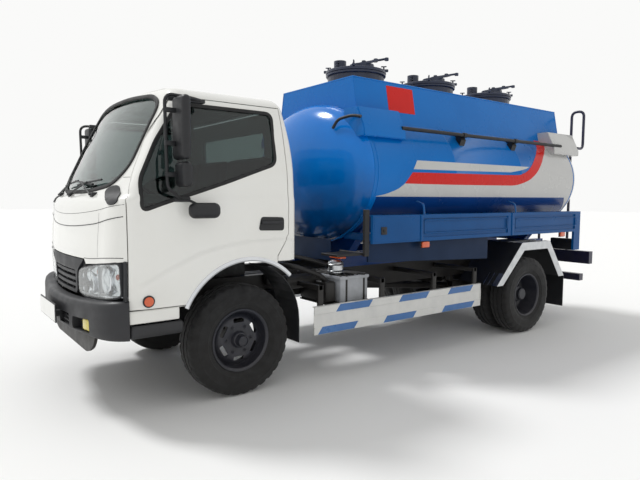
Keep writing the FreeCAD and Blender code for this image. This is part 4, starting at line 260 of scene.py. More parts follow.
# Links a bmesh or mesh as a finished piece that rides on a body
def piece(name, shape, look, body, degrees=35, stands=()):
    mesh = shape
    if isinstance(shape, bmesh.types.BMesh):
        mesh = bpy.data.meshes.new(name)
        shape.to_mesh(mesh)
        shape.free()
    smoothEdges(mesh, degrees)
    mesh.materials.clear()
    mesh.materials.append(finishes[look])
    item = linked(name, mesh)
    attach(item, body)
    if stands:
        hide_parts(*stands)
    return item


# Faces between rows of points
def grid(work, rows, wrapRow=False, wrapColumn=False, caps=False):
    made = [[work.verts.new(point) for point in row] for row in rows]
    rowPairs = list(zip(made, made[1:]))
    if wrapRow:
        rowPairs.append((made[-1], made[0]))
    for low, high in rowPairs:
        count = len(low)
        for index in range(count if wrapColumn else count - 1):
            follower = (index + 1) % count
            work.faces.new((low[index], low[follower], high[follower], high[index]))
    if caps:
        work.faces.new(list(reversed(made[0])))
        work.faces.new(made[-1])


# A point given along an axis and across it
def axisPoint(axis, station, across, up, centre):
    order = {"X": (station, across, up), "Y": (across, station, up), "Z": (across, up, station)}
    return Vector(order[axis]) + Vector(centre)


# Turns (station, radius) points round an axis. A closed profile makes a ring or a solid.
def lathe(work, profile, sides, axis, centre, closed=True):
    rows = []
    for station, radius in profile:
        row = []
        for index in range(sides):
            angle = 2 * math.pi * index / sides
            row.append(axisPoint(axis, station, radius * math.sin(angle),
                                 radius * math.cos(angle), centre))
        rows.append(row)
    grid(work, rows, wrapRow=closed, wrapColumn=True, caps=not closed)
    bmesh.ops.remove_doubles(work, verts=work.verts, dist=0.00001)
    return work


# A round bar along an axis with chamfered ends
def rod(work, axis, start, end, across, up, radius, sides=24, chamfer=0.0):
    low, high = min(start, end), max(start, end)
    profile = [(low, radius - chamfer), (low + chamfer, radius), (high - chamfer, radius),
               (high, radius - chamfer)]
    if chamfer == 0:
        profile = [(low, radius), (high, radius)]
    centre = {"X": (0, across, up), "Y": (across, 0, up), "Z": (across, up, 0)}[axis]
    rows = []
    for station, size in profile:
        rows.append([axisPoint(axis, station, size * math.sin(2 * math.pi * n / sides),
                               size * math.cos(2 * math.pi * n / sides), centre)
                     for n in range(sides)])
    grid(work, rows, wrapColumn=True, caps=True)
    return work


# A block with rounded edges, turned about its middle if asked
def roundBox(work, xs, ys, zs, radius=0.0, segments=3, turn=None):
    part = bmesh.new()
    bmesh.ops.create_cube(part, size=1.0)
    spans = (xs[1] - xs[0], ys[1] - ys[0], zs[1] - zs[0])
    middle = Vector(((xs[0] + xs[1]) / 2, (ys[0] + ys[1]) / 2, (zs[0] + zs[1]) / 2))
    for vert in part.verts:
        vert.co = Vector(vert.co[axis] * spans[axis] for axis in range(3))
    if radius:
        bmesh.ops.bevel(part, geom=list(part.edges), offset=radius, segments=segments,
                        profile=0.5, affect="EDGES", clamp_overlap=True)
    if turn:
        bmesh.ops.transform(part, matrix=turn.to_4x4(), verts=part.verts)
    bmesh.ops.translate(part, vec=middle, verts=part.verts)
    joinInto(work, part)
    return work


# A block whose place along the truck is given behind the front axle
def addBlock(work, xs, distances, *others):
    return roundBox(work, xs, [along(distance) for distance in distances], *others)


def addBlocks(work, rows):
    for row in rows:
        addBlock(work, *row)
    return work


def block(*sizes):
    return addBlock(bmesh.new(), *sizes)


def joinInto(work, part):
    mesh = bpy.data.meshes.new("scratch")
    part.to_mesh(mesh)
    part.free()
    work.from_mesh(mesh)
    bpy.data.meshes.remove(mesh)


# A round or flattened bar swept along points
def tube(work, points, radius, sides=12, closed=False, flat=1.0, upward=None):
    stops = [Vector(point) for point in points]
    count = len(stops)
    rows = []
    side = None
    for index, stop in enumerate(stops):
        before = stops[index - 1] if index or closed else stop
        after = stops[(index + 1) % count] if index < count - 1 or closed else stop
        heading = (after - before).normalized()
        if side is None:
            guess = Vector(upward) if upward else Vector((0, 0, 1))
            if abs(heading.dot(guess)) > 0.95:
                guess = Vector((1, 0, 0))
            side = guess
        side = (side - heading * side.dot(heading)).normalized()
        if upward:
            fixed = Vector(upward)
            side = (fixed - heading * fixed.dot(heading)).normalized()
        other = heading.cross(side)
        rows.append([stop + side * (radius * flat * math.cos(2 * math.pi * n / sides))
                     + other * (radius * math.sin(2 * math.pi * n / sides))
                     for n in range(sides)])
    grid(work, rows, wrapRow=closed, wrapColumn=True, caps=not closed)
    return work


# Points of the curve that rounds one corner
def cornerCurve(before, corner, after, radius, segments):
    inward = before - corner
    outward = after - corner
    reach = min(radius, inward.length * 0.45, outward.length * 0.45)
    first = corner + inward.normalized() * reach
    last = corner + outward.normalized() * reach
    shares = [step / segments for step in range(segments + 1)]
    return [first * (1 - share) ** 2 + corner * 2 * share * (1 - share) + last * share ** 2
            for share in shares]


# Rounds the inner corners of an open chain of points
def bend(points, radius, segments=6):
    stops = [Vector(point) for point in points]
    result = [stops[0]]
    for before, corner, after in zip(stops, stops[1:], stops[2:]):
        result += cornerCurve(before, corner, after, radius, segments)
    return result + [stops[-1]]


# A bent path whose points are given across, behind the front axle and up
def route(points, radius, segments=6):
    return bend([(x, along(distance), z) for x, distance, z in points], radius, segments)


# Rounds every corner of a closed outline
def roundLoop(points, radius, segments=6):
    stops = [Vector((*point, 0)) for point in points]
    result = []
    for before, corner, after in zip(stops[-1:] + stops, stops, stops[1:] + stops):
        curve = cornerCurve(before, corner, after, radius, segments)
        result += [(spot.x, spot.y) for spot in curve]
    return result


# A closed outline in a plane, drawn out along the third axis
def prism(work, outline, plane, low, high):
    rows = []
    for level in (low, high):
        row = []
        for first, second in outline:
            spot = {"YZ": (level, first, second), "XZ": (first, level, second),
                    "XY": (first, second, level)}[plane]
            row.append(Vector(spot))
        rows.append(row)
    grid(work, rows, wrapColumn=True, caps=True)
    return work


# The mesh of a bmesh, with its faces turned outwards. A mesh stays as it is.
def asMesh(shape):
    if isinstance(shape, bpy.types.Mesh):
        return shape
    mesh = bpy.data.meshes.new("shape")
    bmesh.ops.recalc_face_normals(shape, faces=shape.faces)
    shape.to_mesh(mesh)
    shape.free()
    return mesh


# Applies (operation, tool) steps to a shape and returns the new mesh
def carve(shape, *steps):
    item = linked("carved", asMesh(shape).copy())
    tools = []
    for operation, cutter in steps:
        tools.append(linked("tool", asMesh(cutter)))
        step = item.modifiers.new("step", "BOOLEAN")
        step.operation = operation
        step.solver = "EXACT"
        step.object = tools[-1]
    depsgraph = bpy.context.evaluated_depsgraph_get()
    result = bpy.data.meshes.new_from_object(item.evaluated_get(depsgraph))
    for extra in tools + [item]:
        bpy.data.objects.remove(extra)
    return result


# The mirror image of a mesh across the truck's middle plane
def flipped(mesh):
    copy = mesh.copy()
    copy.transform(Matrix.Scale(-1, 4, (1, 0, 0)))
    copy.flip_normals()
    return copy


def joined(*meshes):
    work = bmesh.new()
    for mesh in meshes:
        work.from_mesh(mesh)
    return work


def bothSides(shape):
    mesh = asMesh(shape)
    return joined(mesh, flipped(mesh))


def onSide(mesh, sign):
    return mesh if sign > 0 else flipped(mesh)


def ease(value, low, high):
    share = min(1.0, max(0.0, (value - low) / (high - low)))
    return share * share * (3 - 2 * share)


# Straight-line reading of a list of (place, value) points
def level(points, at):
    if at <= points[0][0]:
        return points[0][1]
    for (low, first), (high, second) in zip(points, points[1:]):
        if at <= high:
            return first + (second - first) * (at - low) / (high - low)
    return points[-1][1]


# Cab skin

cab = dict(
    nose=along(-0.99), length=1.395, bottom=0.72, height=1.46, half=0.914,
    bow=0.137, rearCorner=0.045, wall=0.05, archZ=0.5, chromeRadius=0.497,
    # share of height: nose set back, half width, rear end, corner across, corner along
    rows=((0.0, 0.007, 0.985, 1.000, 0.26, 0.14), (0.226, 0.0, 1.000, 1.004, 0.26, 0.14),
          (0.370, 0.009, 1.000, 1.004, 0.26, 0.14), (0.425, 0.013, 1.000, 1.004, 0.25, 0.135),
          (0.466, 0.025, 0.998, 1.004, 0.20, 0.115), (0.497, 0.060, 0.990, 1.004, 0.13, 0.095),
          (0.603, 0.113, 0.977, 1.004, 0.085, 0.075), (0.918, 0.274, 0.886, 0.965, 0.08, 0.07),
          (0.966, 0.308, 0.810, 0.944, 0.08, 0.07), (1.0, 0.394, 0.500, 0.857, 0.08, 0.07)),
    # side crease over the wheel arch: distance behind the front axle, height
    crease=((-0.90, 0.80), (-0.80, 0.857), (-0.58, 0.968), (-0.357, 1.065), (-0.17, 1.105),
            (0.017, 1.128), (0.308, 1.132), (0.5, 1.132)),
    flare=0.014,
)


# Tangents for a smooth reading of a column that never overshoots
def steepness(rows, column):
    slopes = [(high[column] - low[column]) / (high[0] - low[0]) for low, high in zip(rows, rows[1:])]
    tangents = [slopes[0]]
    for before, after in zip(slopes, slopes[1:]):
        tangents.append(0.0 if before * after <= 0 else 2 * before * after / (before + after))
    return tangents + [slopes[-1]]


cabTangents = {column: steepness(cab["rows"], column) for column in range(1, 6)}


def cabSection(up):
    rows = cab["rows"]
    up = min(1.0, max(0.0, up))
    for index, (low, high) in enumerate(zip(rows, rows[1:])):
        if up <= high[0]:
            break
    span = high[0] - low[0]
    share = (up - low[0]) / span
    values = []
    for column in range(1, 6):
        first, last = cabTangents[column][index], cabTangents[column][index + 1]
        values.append((2 * share ** 3 - 3 * share ** 2 + 1) * low[column]
                      + (share ** 3 - 2 * share ** 2 + share) * span * first
                      + (3 * share ** 2 - 2 * share ** 3) * high[column]
                      + (share ** 3 - share ** 2) * span * last)
    back, wide, rear, cornerX, cornerY = values
    half = cab["half"] * wide
    noseY = cab["nose"] + cab["length"] * back
    return dict(half=half, nose=noseY, rear=cab["nose"] + cab["length"] * rear,
                cornerX=cab["half"] * cornerX, cornerY=cab["half"] * cornerY,
                bow=half * cab["bow"] * ((half - cab["half"] * cornerX) / half) ** 2,
                round=cab["half"] * cab["rearCorner"])


def cabUp(z):
    return (z - cab["bottom"]) / cab["height"]


# Half width of the cab's side at a place
def sideX(y, z):
    part = cabSection(cabUp(z))
    front = part["half"] - part["cornerX"]
    sideY = part["nose"] + part["bow"] + part["cornerY"]
    flare = cab["flare"] * ease(level(cab["crease"], y - axleFront) - z, -0.004, 0.022)
    if y >= sideY:
        return part["half"] + flare
    reach = min(1.0, (sideY - y) / part["cornerY"])
    return front + part["cornerX"] * math.sqrt(1 - reach * reach) + flare * (1 - reach)


# Front face of the cab at a place across
def frontY(x, z):
    part = cabSection(cabUp(z))
    front = part["half"] - part["cornerX"]
    across = abs(x)
    if across <= front:
        return part["nose"] + part["bow"] * (across / front) ** 2
    sideY = part["nose"] + part["bow"] + part["cornerY"]
    reach = min(1.0, (across - front) / part["cornerX"])
    return sideY - part["cornerY"] * math.sqrt(1 - reach * reach)


# One ring of the cab skin at a share of its height
def cabRing(up, inset, dense):
    part = cabSection(up)
    z = cab["bottom"] + cab["height"] * up
    half = part["half"] - inset
    noseY = part["nose"] + inset
    rearY = part["rear"] - inset
    front = half - part["cornerX"]
    sideY = noseY + part["bow"] + part["cornerY"]
    points = []
    across = 40 if dense else 10
    for step in range(across):
        share = -1 + 2 * step / across
        points.append((front * share, noseY + part["bow"] * share * share))
    turns = 10 if dense else 4
    for step in range(turns):
        angle = math.pi / 2 * step / turns
        points.append((front + part["cornerX"] * math.sin(angle),
                       sideY - part["cornerY"] * math.cos(angle)))
    sides = 90 if dense else 8
    rearSide = rearY - part["round"]
    for step in range(sides):
        y = sideY + (rearSide - sideY) * step / sides
        flare = 0.0
        if dense:
            flare = cab["flare"] * ease(level(cab["crease"], y - axleFront) - z, -0.004, 0.022)
            flare *= ease(y, sideY, sideY + 0.08)
        points.append((half + flare, y))
    for step in range(5):
        angle = math.pi / 2 * step / 4
        points.append((half - part["round"] * (1 - math.cos(angle)),
                       rearSide + part["round"] * math.sin(angle)))
    middle = [(x, y) for x, y in points if x > front]
    points = points + [(-x, y) for x, y in reversed(middle)]
    return [Vector((x, y, z)) for x, y in points]


# The closed outer form of the cab, moved inwards by an inset
def cabBody(inset, dense):
    work = bmesh.new()
    ups = []
    if dense:
        ups = [index * 0.0085 for index in range(112)]
        ups += [0.952 + index * 0.004 for index in range(13)]
    else:
        ups = [index * 0.05 for index in range(19)] + [0.92, 0.94, 0.966, 0.985, 1.0]
    rows = []
    for up in ups:
        ring = cabRing(up, inset, dense)
        if inset:
            drop = inset * ease(up, 0.9, 1.0)
            ring = [point - Vector((0, 0, drop)) for point in ring]
            if up == 0:
                ring = [point - Vector((0, 0, 0.03)) for point in ring]
        rows.append(ring)
    grid(work, rows, wrapColumn=True, caps=True)
    if dense:  # a low crown instead of a flat roof
        face = max(work.faces, key=lambda item: item.calc_center_median().z)
        bmesh.ops.inset_individual(work, faces=[face], thickness=0.12)
        for vert in face.verts:
            vert.co.z += 0.006
    return asMesh(work)


# Distances behind the front axle and heights
door = dict(front=-0.82, rear=0.336, low=0.728, top=2.066, gap=0.006, belt=1.50,
            pillarFoot=-0.7905, pillarFootZ=1.56, pillarHead=-0.4906)


def doorEdge(gap):
    foot, head = along(door["pillarFoot"]) - gap, along(door["pillarHead"]) - gap
    front, rear = along(door["front"]) - gap, along(door["rear"]) + gap
    return ((front, door["low"] - gap), (rear - 0.1, door["low"] - gap), (rear - 0.1, 1.01 - gap),
            (rear, 1.16), (rear, 1.61), (rear - 0.025, door["top"] + gap),
            (head, door["top"] + gap), (foot, door["pillarFootZ"]), (front, door["belt"]))


windowEdge = sideView((
    (-0.735, 1.335), (-0.60, 1.382), (-0.153, 1.522), (0.2446, 1.66), (0.2446, 2.022),
    (-0.46, 2.022), (-0.62, 1.78), (-0.735, 1.53)))
rearWindowEdge = ((-0.567, 1.46), (0.567, 1.46), (0.54, 1.922), (-0.54, 1.922))
screenHalf = ((0.2925, 1.455), (0.614, 1.50), (0.731, 1.615), (0.722, 2.027), (0.578, 2.097),
              (0.253, 2.117))


# Across and up: where the door's front edge runs along the windscreen pillar, and the mouth's edge
pillarSeam = ((0.880, 1.385), (0.880, 1.416), (0.856, 1.446), (0.820, 1.501), (0.797, 1.552),
              (0.780, 1.634), (0.765, 1.717), (0.752, 1.782), (0.741, 1.849), (0.733, 1.900))
mouthEdge = ((0.444, 1.018), (0.47, 0.985), (0.64, 1.000), (0.80, 1.016), (0.90, 1.030), (0.95, 1.035))

# Places past the cab, for cutting, and the levels where its panels meet
split = dict(
    ahead=cab["nose"] - 0.05, back=along(0.45), wide=1.0, core=cab["half"] * 0.8,
    pillarRear=along(-0.42), mouthRear=along(-0.77), rearFace=along(0.405) - cab["wall"],
    rearHalf=0.814, low=0.70, floorZ=0.97, sillZ=1.38, roofLine=2.072, pillarDepth=0.14,
    archRadius=0.492, windowRadius=0.05)


def screenLoop():
    return roundLoop(screenHalf + tuple((-x, z) for x, z in reversed(screenHalf)), 0.12)


def slab(xs, ys, zs):
    return roundBox(bmesh.new(), xs, ys, zs)


def sideCut(outline, low=split["core"], high=split["wide"]):
    return prism(bmesh.new(), outline, "YZ", low, high)


def frontCut(outline, rear=split["pillarRear"]):
    return prism(bmesh.new(), outline, "XZ", split["ahead"], rear)


def archCut(gap=0.0):
    return rod(bmesh.new(), "X", -1.1, 1.1, axleFront, cab["archZ"], split["archRadius"] + gap, 96)


# All that lies between the pillar seams of the two doors, moved outwards by a gap
def cornerCut(gap):
    outline = [(x + gap, z) for x, z in pillarSeam]
    return frontCut(outline + [(-x, z) for x, z in reversed(outline)])


def screenCut(inset=0.0):
    middle = 1.79
    return frontCut([(x * (1 - inset), middle + (z - middle) * (1 - inset)) for x, z in screenLoop()])


def rearWindowCut():
    outline = roundLoop(rearWindowEdge, split["windowRadius"])
    return prism(bmesh.new(), outline, "XZ", split["rearFace"] - 0.1, split["back"])


# Side views of the front panel and of the windscreen pillars behind it
def frontZones():
    seamY = along(door["front"]) - door["gap"]
    foot, head = along(door["pillarFoot"]) - door["gap"], along(door["pillarHead"]) - door["gap"]
    low, top, depth = split["low"], split["roofLine"], split["pillarDepth"]
    footZ, belt, sillZ = door["pillarFootZ"], door["belt"], split["sillZ"]
    front = ((split["ahead"], low), (seamY, low), (seamY, belt), (foot, footZ), (head, top),
             (split["ahead"], top))
    pillars = ((seamY, sillZ), (seamY + 0.16, sillZ), (foot + depth, footZ), (head + depth, top),
               (head, top), (foot, footZ), (seamY, belt))
    return front, pillars


def doorSkins(shell):
    window = roundLoop(windowEdge, split["windowRadius"])
    panel = carve(shell, ("INTERSECT", sideCut(doorEdge(0.0))), ("DIFFERENCE", sideCut(window)),
                  ("DIFFERENCE", archCut(door["gap"])), ("DIFFERENCE", cornerCut(0.003)))
    for name, sign in leftAndRight:
        piece("door_skin_" + name, onSide(panel, sign), "enamelCabWhite", "door_" + name, 30,
              ("door_" + name,))


def roofSkin(shell):
    wide, top = split["wide"], split["roofLine"]
    above = slab((-wide, wide), (split["ahead"], split["back"]), (top, 2.4))
    roof = carve(shell, ("INTERSECT", above), ("DIFFERENCE", screenCut()))
    piece("roof_skin", roof, "enamelCabWhite", "cab", 30, ("cab_roof",))


# The nose with its mouth, the windscreen pillars and the corners ahead of the doors
def frontSkin(shell):
    wide, core, low = split["wide"], split["core"], split["low"]
    frontZone, pillarZone = frontZones()
    mouthOutline = ((-0.96, low), (0.96, low)) + mouthEdge[::-1] + tuple((-x, z) for x, z in mouthEdge)
    nose = carve(shell, ("INTERSECT", sideCut(frontZone, -wide)), ("DIFFERENCE", screenCut()),
                 ("DIFFERENCE", frontCut(mouthOutline, split["mouthRear"])))
    pillars = carve(shell, ("INTERSECT", sideCut(pillarZone, -core, core)),
                    ("DIFFERENCE", screenCut()))
    corners = carve(shell, ("INTERSECT", cornerCut(-0.003)),
                    ("DIFFERENCE", sideCut(frontZone, -wide)),
                    ("DIFFERENCE", sideCut(pillarZone, -core, core)), ("DIFFERENCE", screenCut()))
    piece("front_skin", joined(nose, pillars, corners), "enamelCabWhite", "cab", 30,
          ("cab_front_panel",))


# Rear wall, and the posts and arch ends between it and the doors
def rearSkins(shell):
    wide, core, half = split["wide"], split["core"], split["rearHalf"]
    face, back, top, floorZ = split["rearFace"], split["back"], split["roofLine"], split["floorZ"]
    rear = carve(shell, ("INTERSECT", slab((-half, half), (face, back), (0.69, top))),
                 ("DIFFERENCE", rearWindowCut()),
                 ("DIFFERENCE", slab((-wide, wide), (face - 0.1, back), (0.6, floorZ))))
    piece("rear_wall_skin", rear, "enamelCabWhite", "cab", 30, ("cab_rear_wall",))
    seamY = along(door["front"]) - door["gap"]
    flank = carve(shell, ("INTERSECT", slab((core, wide), (seamY, back), (split["low"], top))),
                  ("DIFFERENCE", sideCut(doorEdge(door["gap"]), core - 0.05, wide + 0.1)),
                  ("DIFFERENCE", sideCut(frontZones()[0], -wide - 0.1, wide + 0.1)),
                  ("DIFFERENCE", slab((-half, half), (face, back + 0.1), (0.6, top + 0.1))),
                  ("DIFFERENCE", archCut()),
                  ("DIFFERENCE", slab((core - 0.1, wide + 0.1), (axleFront, back + 0.1),
                                      (0.6, floorZ))))
    piece("side_post_skin", bothSides(flank), "enamelCabWhite", "cab", 30, ("cab_sides",))


def cabGlass():
    glass = carve(cabBody(0.010, False), ("DIFFERENCE", cabBody(0.016, False)))
    pane = carve(glass, ("INTERSECT", sideCut(roundLoop(windowEdge, split["windowRadius"]))))
    for name, sign in leftAndRight:
        piece("window_pane_" + name, onSide(pane, sign), "glassDoorPaintedShade", "door_" + name, 30,
              ("door_glass_" + name,))
    screens = [carve(glass, ("INTERSECT", shape)) for shape in (screenCut(0.001), rearWindowCut())]
    piece("screen_panes", joined(*screens), "glassPane", "cab", 30, ("cab_glass",))


# Steel panels, doors and glass of the cab, cut from one smooth skin
def cabPanels():
    shell = carve(cabBody(0.0, True), ("DIFFERENCE", cabBody(cab["wall"], False)))
    doorSkins(shell)
    roofSkin(shell)
    frontSkin(shell)
    rearSkins(shell)
    cabGlass()
    print("cab skin")


# Rubber round the glass and chrome on the wheel arch
def cabSeals():
    for name, sign in leftAndRight:
        loop = roundLoop(windowEdge, split["windowRadius"])
        line = [(sign * (sideX(y, z) - 0.001), y, z) for y, z in loop]
        piece("window_seal_" + name, tube(bmesh.new(), line, 0.013, 8, True, 0.45, (1, 0, 0)),
              "rubberSeal", "door_" + name)
    loop = screenLoop()
    dense = []
    for (x0, z0), (x1, z1) in zip(loop, loop[1:] + loop[:1]):
        count = max(1, int(math.hypot(x1 - x0, z1 - z0) / 0.03))
        dense += [(x0 + (x1 - x0) * n / count, z0 + (z1 - z0) * n / count) for n in range(count)]
    line = [(x, frontY(x, z) - 0.001, z) for x, z in dense]
    piece("screen_seal", tube(bmesh.new(), line, 0.017, 8, True, 0.5, (0, -1, 0.5)),
          "rubberSeal", "cab")
    for name, sign in leftAndRight:
        line = []
        for step in range(49):
            angle = math.radians(24 + 110 * step / 48)
            y = axleFront - cab["chromeRadius"] * math.cos(angle)
            z = cab["archZ"] + cab["chromeRadius"] * math.sin(angle)
            line.append((sign * (sideX(y, z) + 0.001), y, z))
        body = "door_" + name
        piece("arch_chrome_" + name, tube(bmesh.new(), line, 0.016, 10, False, 0.55, (1, 0, 0)),
              "chromeTrim", body)
    print("cab seals")


cabPanels()
cabSeals()


# Cab front: mouth, lamps, grille and bumper

lampEdge = ((0.330, 0.79), (0.44, 0.766), (0.66, 0.777), (0.80, 0.796), (0.868, 0.812), (0.872, 1.018),
            (0.80, 1.008), (0.64, 0.992), (0.41, 0.952), (0.345, 0.925))
grilleEdge = ((-0.300, 0.770), (0.300, 0.770), (0.325, 0.930), (0.444, 1.012), (-0.444, 1.012),
              (-0.325, 0.930))
mouth = dict(
    housing=((-0.90, 0.73), (0.90, 0.73), (0.90, 1.03), (0.44, 1.025), (-0.44, 1.025), (-0.90, 1.03)),
    opening=((-0.275, 0.792), (0.275, 0.792), (0.292, 0.928), (-0.292, 0.928)),
    # height and half length of the grille's bars, and their section: inwards and up
    bars=((0.905, 0.292), (0.862, 0.288), (0.820, 0.282)),
    section=((0.0, 0.004), (0.004, 0.012), (0.045, 0.020), (0.045, 0.008), (0.006, -0.012),
             (0.0, -0.006)),
    ribs=(-0.15, 0.0, 0.15),
    # across and up, with a radius or a span
    bowls=((0.485, 0.862, 0.078), (0.725, 0.900, 0.088)),
    dividers=((0.628, 0.636, 0.79, 0.98), (0.36, 0.62, 0.782, 0.788), (0.645, 0.89, 0.806, 0.812)),
    bulbs=((0.60, 0.945), (0.83, 0.93)),
    post=((0.868, 0.908), (-0.847, -0.829), (0.785, 1.032), 0.005, 2))
bumper = dict(
    nose=along(-1.06), bow=0.15, turn=0.74, half=0.924, low=0.542, top=0.745, rise=0.045,
    openings=(((0.145, 0.565), (0.35, 0.568), (0.345, 0.648), (0.155, 0.642)),
              ((0.40, 0.560), (0.66, 0.565), (0.655, 0.652), (0.41, 0.640))),
    backing=((0.0, 0.552), (0.0, 0.70), (0.02, 0.70), (0.02, 0.552)),
    grateStart=0.165, gratePitch=0.028, grateBars=7, grateX=0.25, grateZ=(0.588, 0.618), fogX=0.588,
    # rows give across, behind the front axle, up, rounding and its steps
    plate=((-0.235, 0.235), (-1.108, -1.104), (0.575, 0.690), 0.0015, 1),
    holder=((-0.243, 0.243), (-1.104, -1.096), (0.568, 0.697), 0.002, 1),
    holderArms=(((-0.17, -0.13), (-1.10, -1.05), (0.60, 0.64)),
                ((0.13, 0.17), (-1.10, -1.05), (0.60, 0.64))),
    valance=((-0.64, 0.552), (-0.56, 0.445), (-0.42, 0.385), (0.42, 0.385), (0.56, 0.445),
             (0.64, 0.552)),
    shelf=((-0.62, 0.62), (-0.93, -0.80), (0.54, 0.56), 0.005, 1), hornX=0.34)


# A sheet that lies on the cab's front: its outline is across and up
def patch(outline, out, thick, step=0.03):
    work = bmesh.new()
    work.faces.new([work.verts.new((x, 0, z)) for x, z in outline])
    for axis in (0, 2):
        values = [point[0 if axis == 0 else 1] for point in outline]
        low, high = min(values), max(values)
        cuts = [low + step * n for n in range(1, int((high - low) / step) + 1)]
        if axis == 0:
            cuts += [sign * (0.80 + 0.01 * n) for n in range(12) for sign in (1, -1)]
        for value in cuts:
            place = (value, 0, 0) if axis == 0 else (0, 0, value)
            bmesh.ops.bisect_plane(work, geom=work.verts[:] + work.edges[:] + work.faces[:],
                                   plane_co=place, plane_no=[1 if n == axis else 0 for n in range(3)])
    made = bmesh.ops.extrude_face_region(work, geom=list(work.faces))
    backs = {item for item in made["geom"] if isinstance(item, bmesh.types.BMVert)}
    for vert in work.verts:
        vert.co.y = frontY(vert.co.x, vert.co.z) + (thick - out if vert in backs else -out)
    return work


# A headlamp reflector, open to the front
def bowl(work, x, z, radius, depth):
    y = frontY(x, z) + 0.014
    rows = []
    for share in (1.0, 0.93, 0.8, 0.6, 0.4, 0.22):
        rows.append((y + depth * (1 - share * share), radius * share))
    back = [(station + 0.004, size + 0.003) for station, size in reversed(rows)]
    return lathe(work, rows + back, 40, "Y", (x, 0, z))


# The headlamp's outline, drawn in or out from the lamp's middle
def lampLoop(wide, tall):
    x0, z0 = 0.62, 0.89
    return roundLoop([(x0 + (x - x0) * wide, z0 + (z - z0) * tall) for x, z in lampEdge], 0.03, 3)


# Grille, headlamps and the dark housing behind them
def cabMouth():
    piece("mouth_housing", patch(mouth["housing"], -0.085, 0.03, 0.06), "plasticBlack", "cab", 40)
    frontmost = cab["nose"] - 0.2
    hole = prism(bmesh.new(), roundLoop(mouth["opening"], 0.03, 3), "XZ", frontmost, along(-0.8))
    surround = patch(roundLoop(grilleEdge, 0.03, 3), 0.004, 0.034)
    work = joined(carve(surround, ("DIFFERENCE", hole)))
    for z, reach in mouth["bars"]:
        rows = []
        for n in range(25):
            x = reach * (n / 12 - 1)
            y = frontY(x, z)
            rows.append([Vector((x, y + back, z + up)) for back, up in mouth["section"]])
        grid(work, rows, wrapColumn=True, caps=True)
    for x in mouth["ribs"]:
        roundBox(work, (x - 0.007, x + 0.007), (frontY(x, 0.86) + 0.018, frontY(x, 0.86) + 0.05),
                 (0.785, 0.935), 0.002, 1)
    piece("grille_lattice", work, "plasticBumper", "cab", 35, ("front_grille",))

    outline = roundLoop(lampEdge, 0.03, 3)
    lens = patch(outline, 0.003, 0.004, 0.02)
    piece("headlamp_lenses", bothSides(lens), "acrylicLens", "cab", 45, ("headlamps",))
    inner = lampLoop(0.97, 0.95)
    work = patch(inner, -0.034, 0.03, 0.012)
    for vert in work.verts:  # pressed facets behind the clear lens
        vert.co.y -= 0.020 * abs(math.sin(34 * vert.co.x)) * abs(math.sin(26 * vert.co.z))
    for x, z, radius in mouth["bowls"]:
        bowl(work, x, z, radius, 0.05)
        rod(work, "Y", frontY(x, z) + 0.03, frontY(x, z) + 0.064, x, z, 0.016, 20, 0.003)
    piece("headlamp_reflectors", bothSides(work), "reflectorChrome", "cab")
    work = bmesh.new()
    for x0, x1, z0, z1 in mouth["dividers"]:
        joinInto(work, patch(((x0, z0), (x1, z0), (x1, z1), (x0, z1)), -0.006, 0.03, 0.04))
    piece("headlamp_dividers", bothSides(work), "plasticBatteryGrey", "cab")
    bulbs = bmesh.new()
    for x, z in mouth["bulbs"]:
        rod(bulbs, "Y", frontY(x, z) + 0.018, frontY(x, z) + 0.05, x, z, 0.018, 16, 0.004)
    piece("turn_bulbs", bothSides(bulbs), "acrylicAmber", "cab")
    rim = carve(patch(lampLoop(1.02, 1.09), 0.001, 0.03, 0.02),
                ("DIFFERENCE", prism(bmesh.new(), outline, "XZ", frontmost, along(-0.75))))
    piece("headlamp_bezels", bothSides(rim), "plasticBumper", "cab")
    piece("front_corner_posts", bothSides(block(*mouth["post"])), "plasticBumper", "cab")
    print("cab mouth")


# The bumper's outer face in plan, from its middle to its left end
def bumperPlan(steps=26):
    turn, nose = bumper["turn"], bumper["nose"]
    points = [(turn * n / steps, nose + bumper["bow"] * (turn * n / steps) ** 2) for n in range(steps)]
    start = (turn, nose + bumper["bow"] * turn * turn)
    middle, end = (0.893, along(-0.937)), (bumper["half"], along(-0.826))
    for n in range(13):
        share = n / 12
        points.append(tuple((1 - share) ** 2 * a + 2 * share * (1 - share) * b + share * share * c
                            for a, b, c in zip(start, middle, end)))
    return points


# A band round the front: section gives (inward, height) points for each plan point
def wrapped(plan, section):
    whole = [(-x, y) for x, y in reversed(plan[1:])] + plan
    rows = []
    for index, (x, y) in enumerate(whole):
        x0, y0 = whole[max(0, index - 1)]
        x1, y1 = whole[min(len(whole) - 1, index + 1)]
        reach = math.hypot(x1 - x0, y1 - y0)
        inX, inY = -(y1 - y0) / reach, (x1 - x0) / reach
        rows.append([Vector((x + inX * inward, y + inY * inward, z)) for inward, z in section(x)])
    work = bmesh.new()
    grid(work, rows, wrapColumn=True, caps=True)
    return work


def bumperSection(x):
    low = bumper["low"]
    top = bumper["top"] + bumper["rise"] * (abs(x) / bumper["half"]) ** 2
    return ((0.016, low), (0.004, low + 0.012), (0.0, low + 0.05), (0.0, top - 0.045),
            (0.006, top - 0.018), (0.018, top - 0.004), (0.034, top), (0.078, top),
            (0.084, top - 0.008), (0.084, top - 0.03), (0.060, top - 0.05), (0.060, low + 0.01),
            (0.054, low))


# y of the bumper's face at a place across, ahead of its turn
def bumperFace(x):
    return bumper["nose"] + bumper["bow"] * x * x


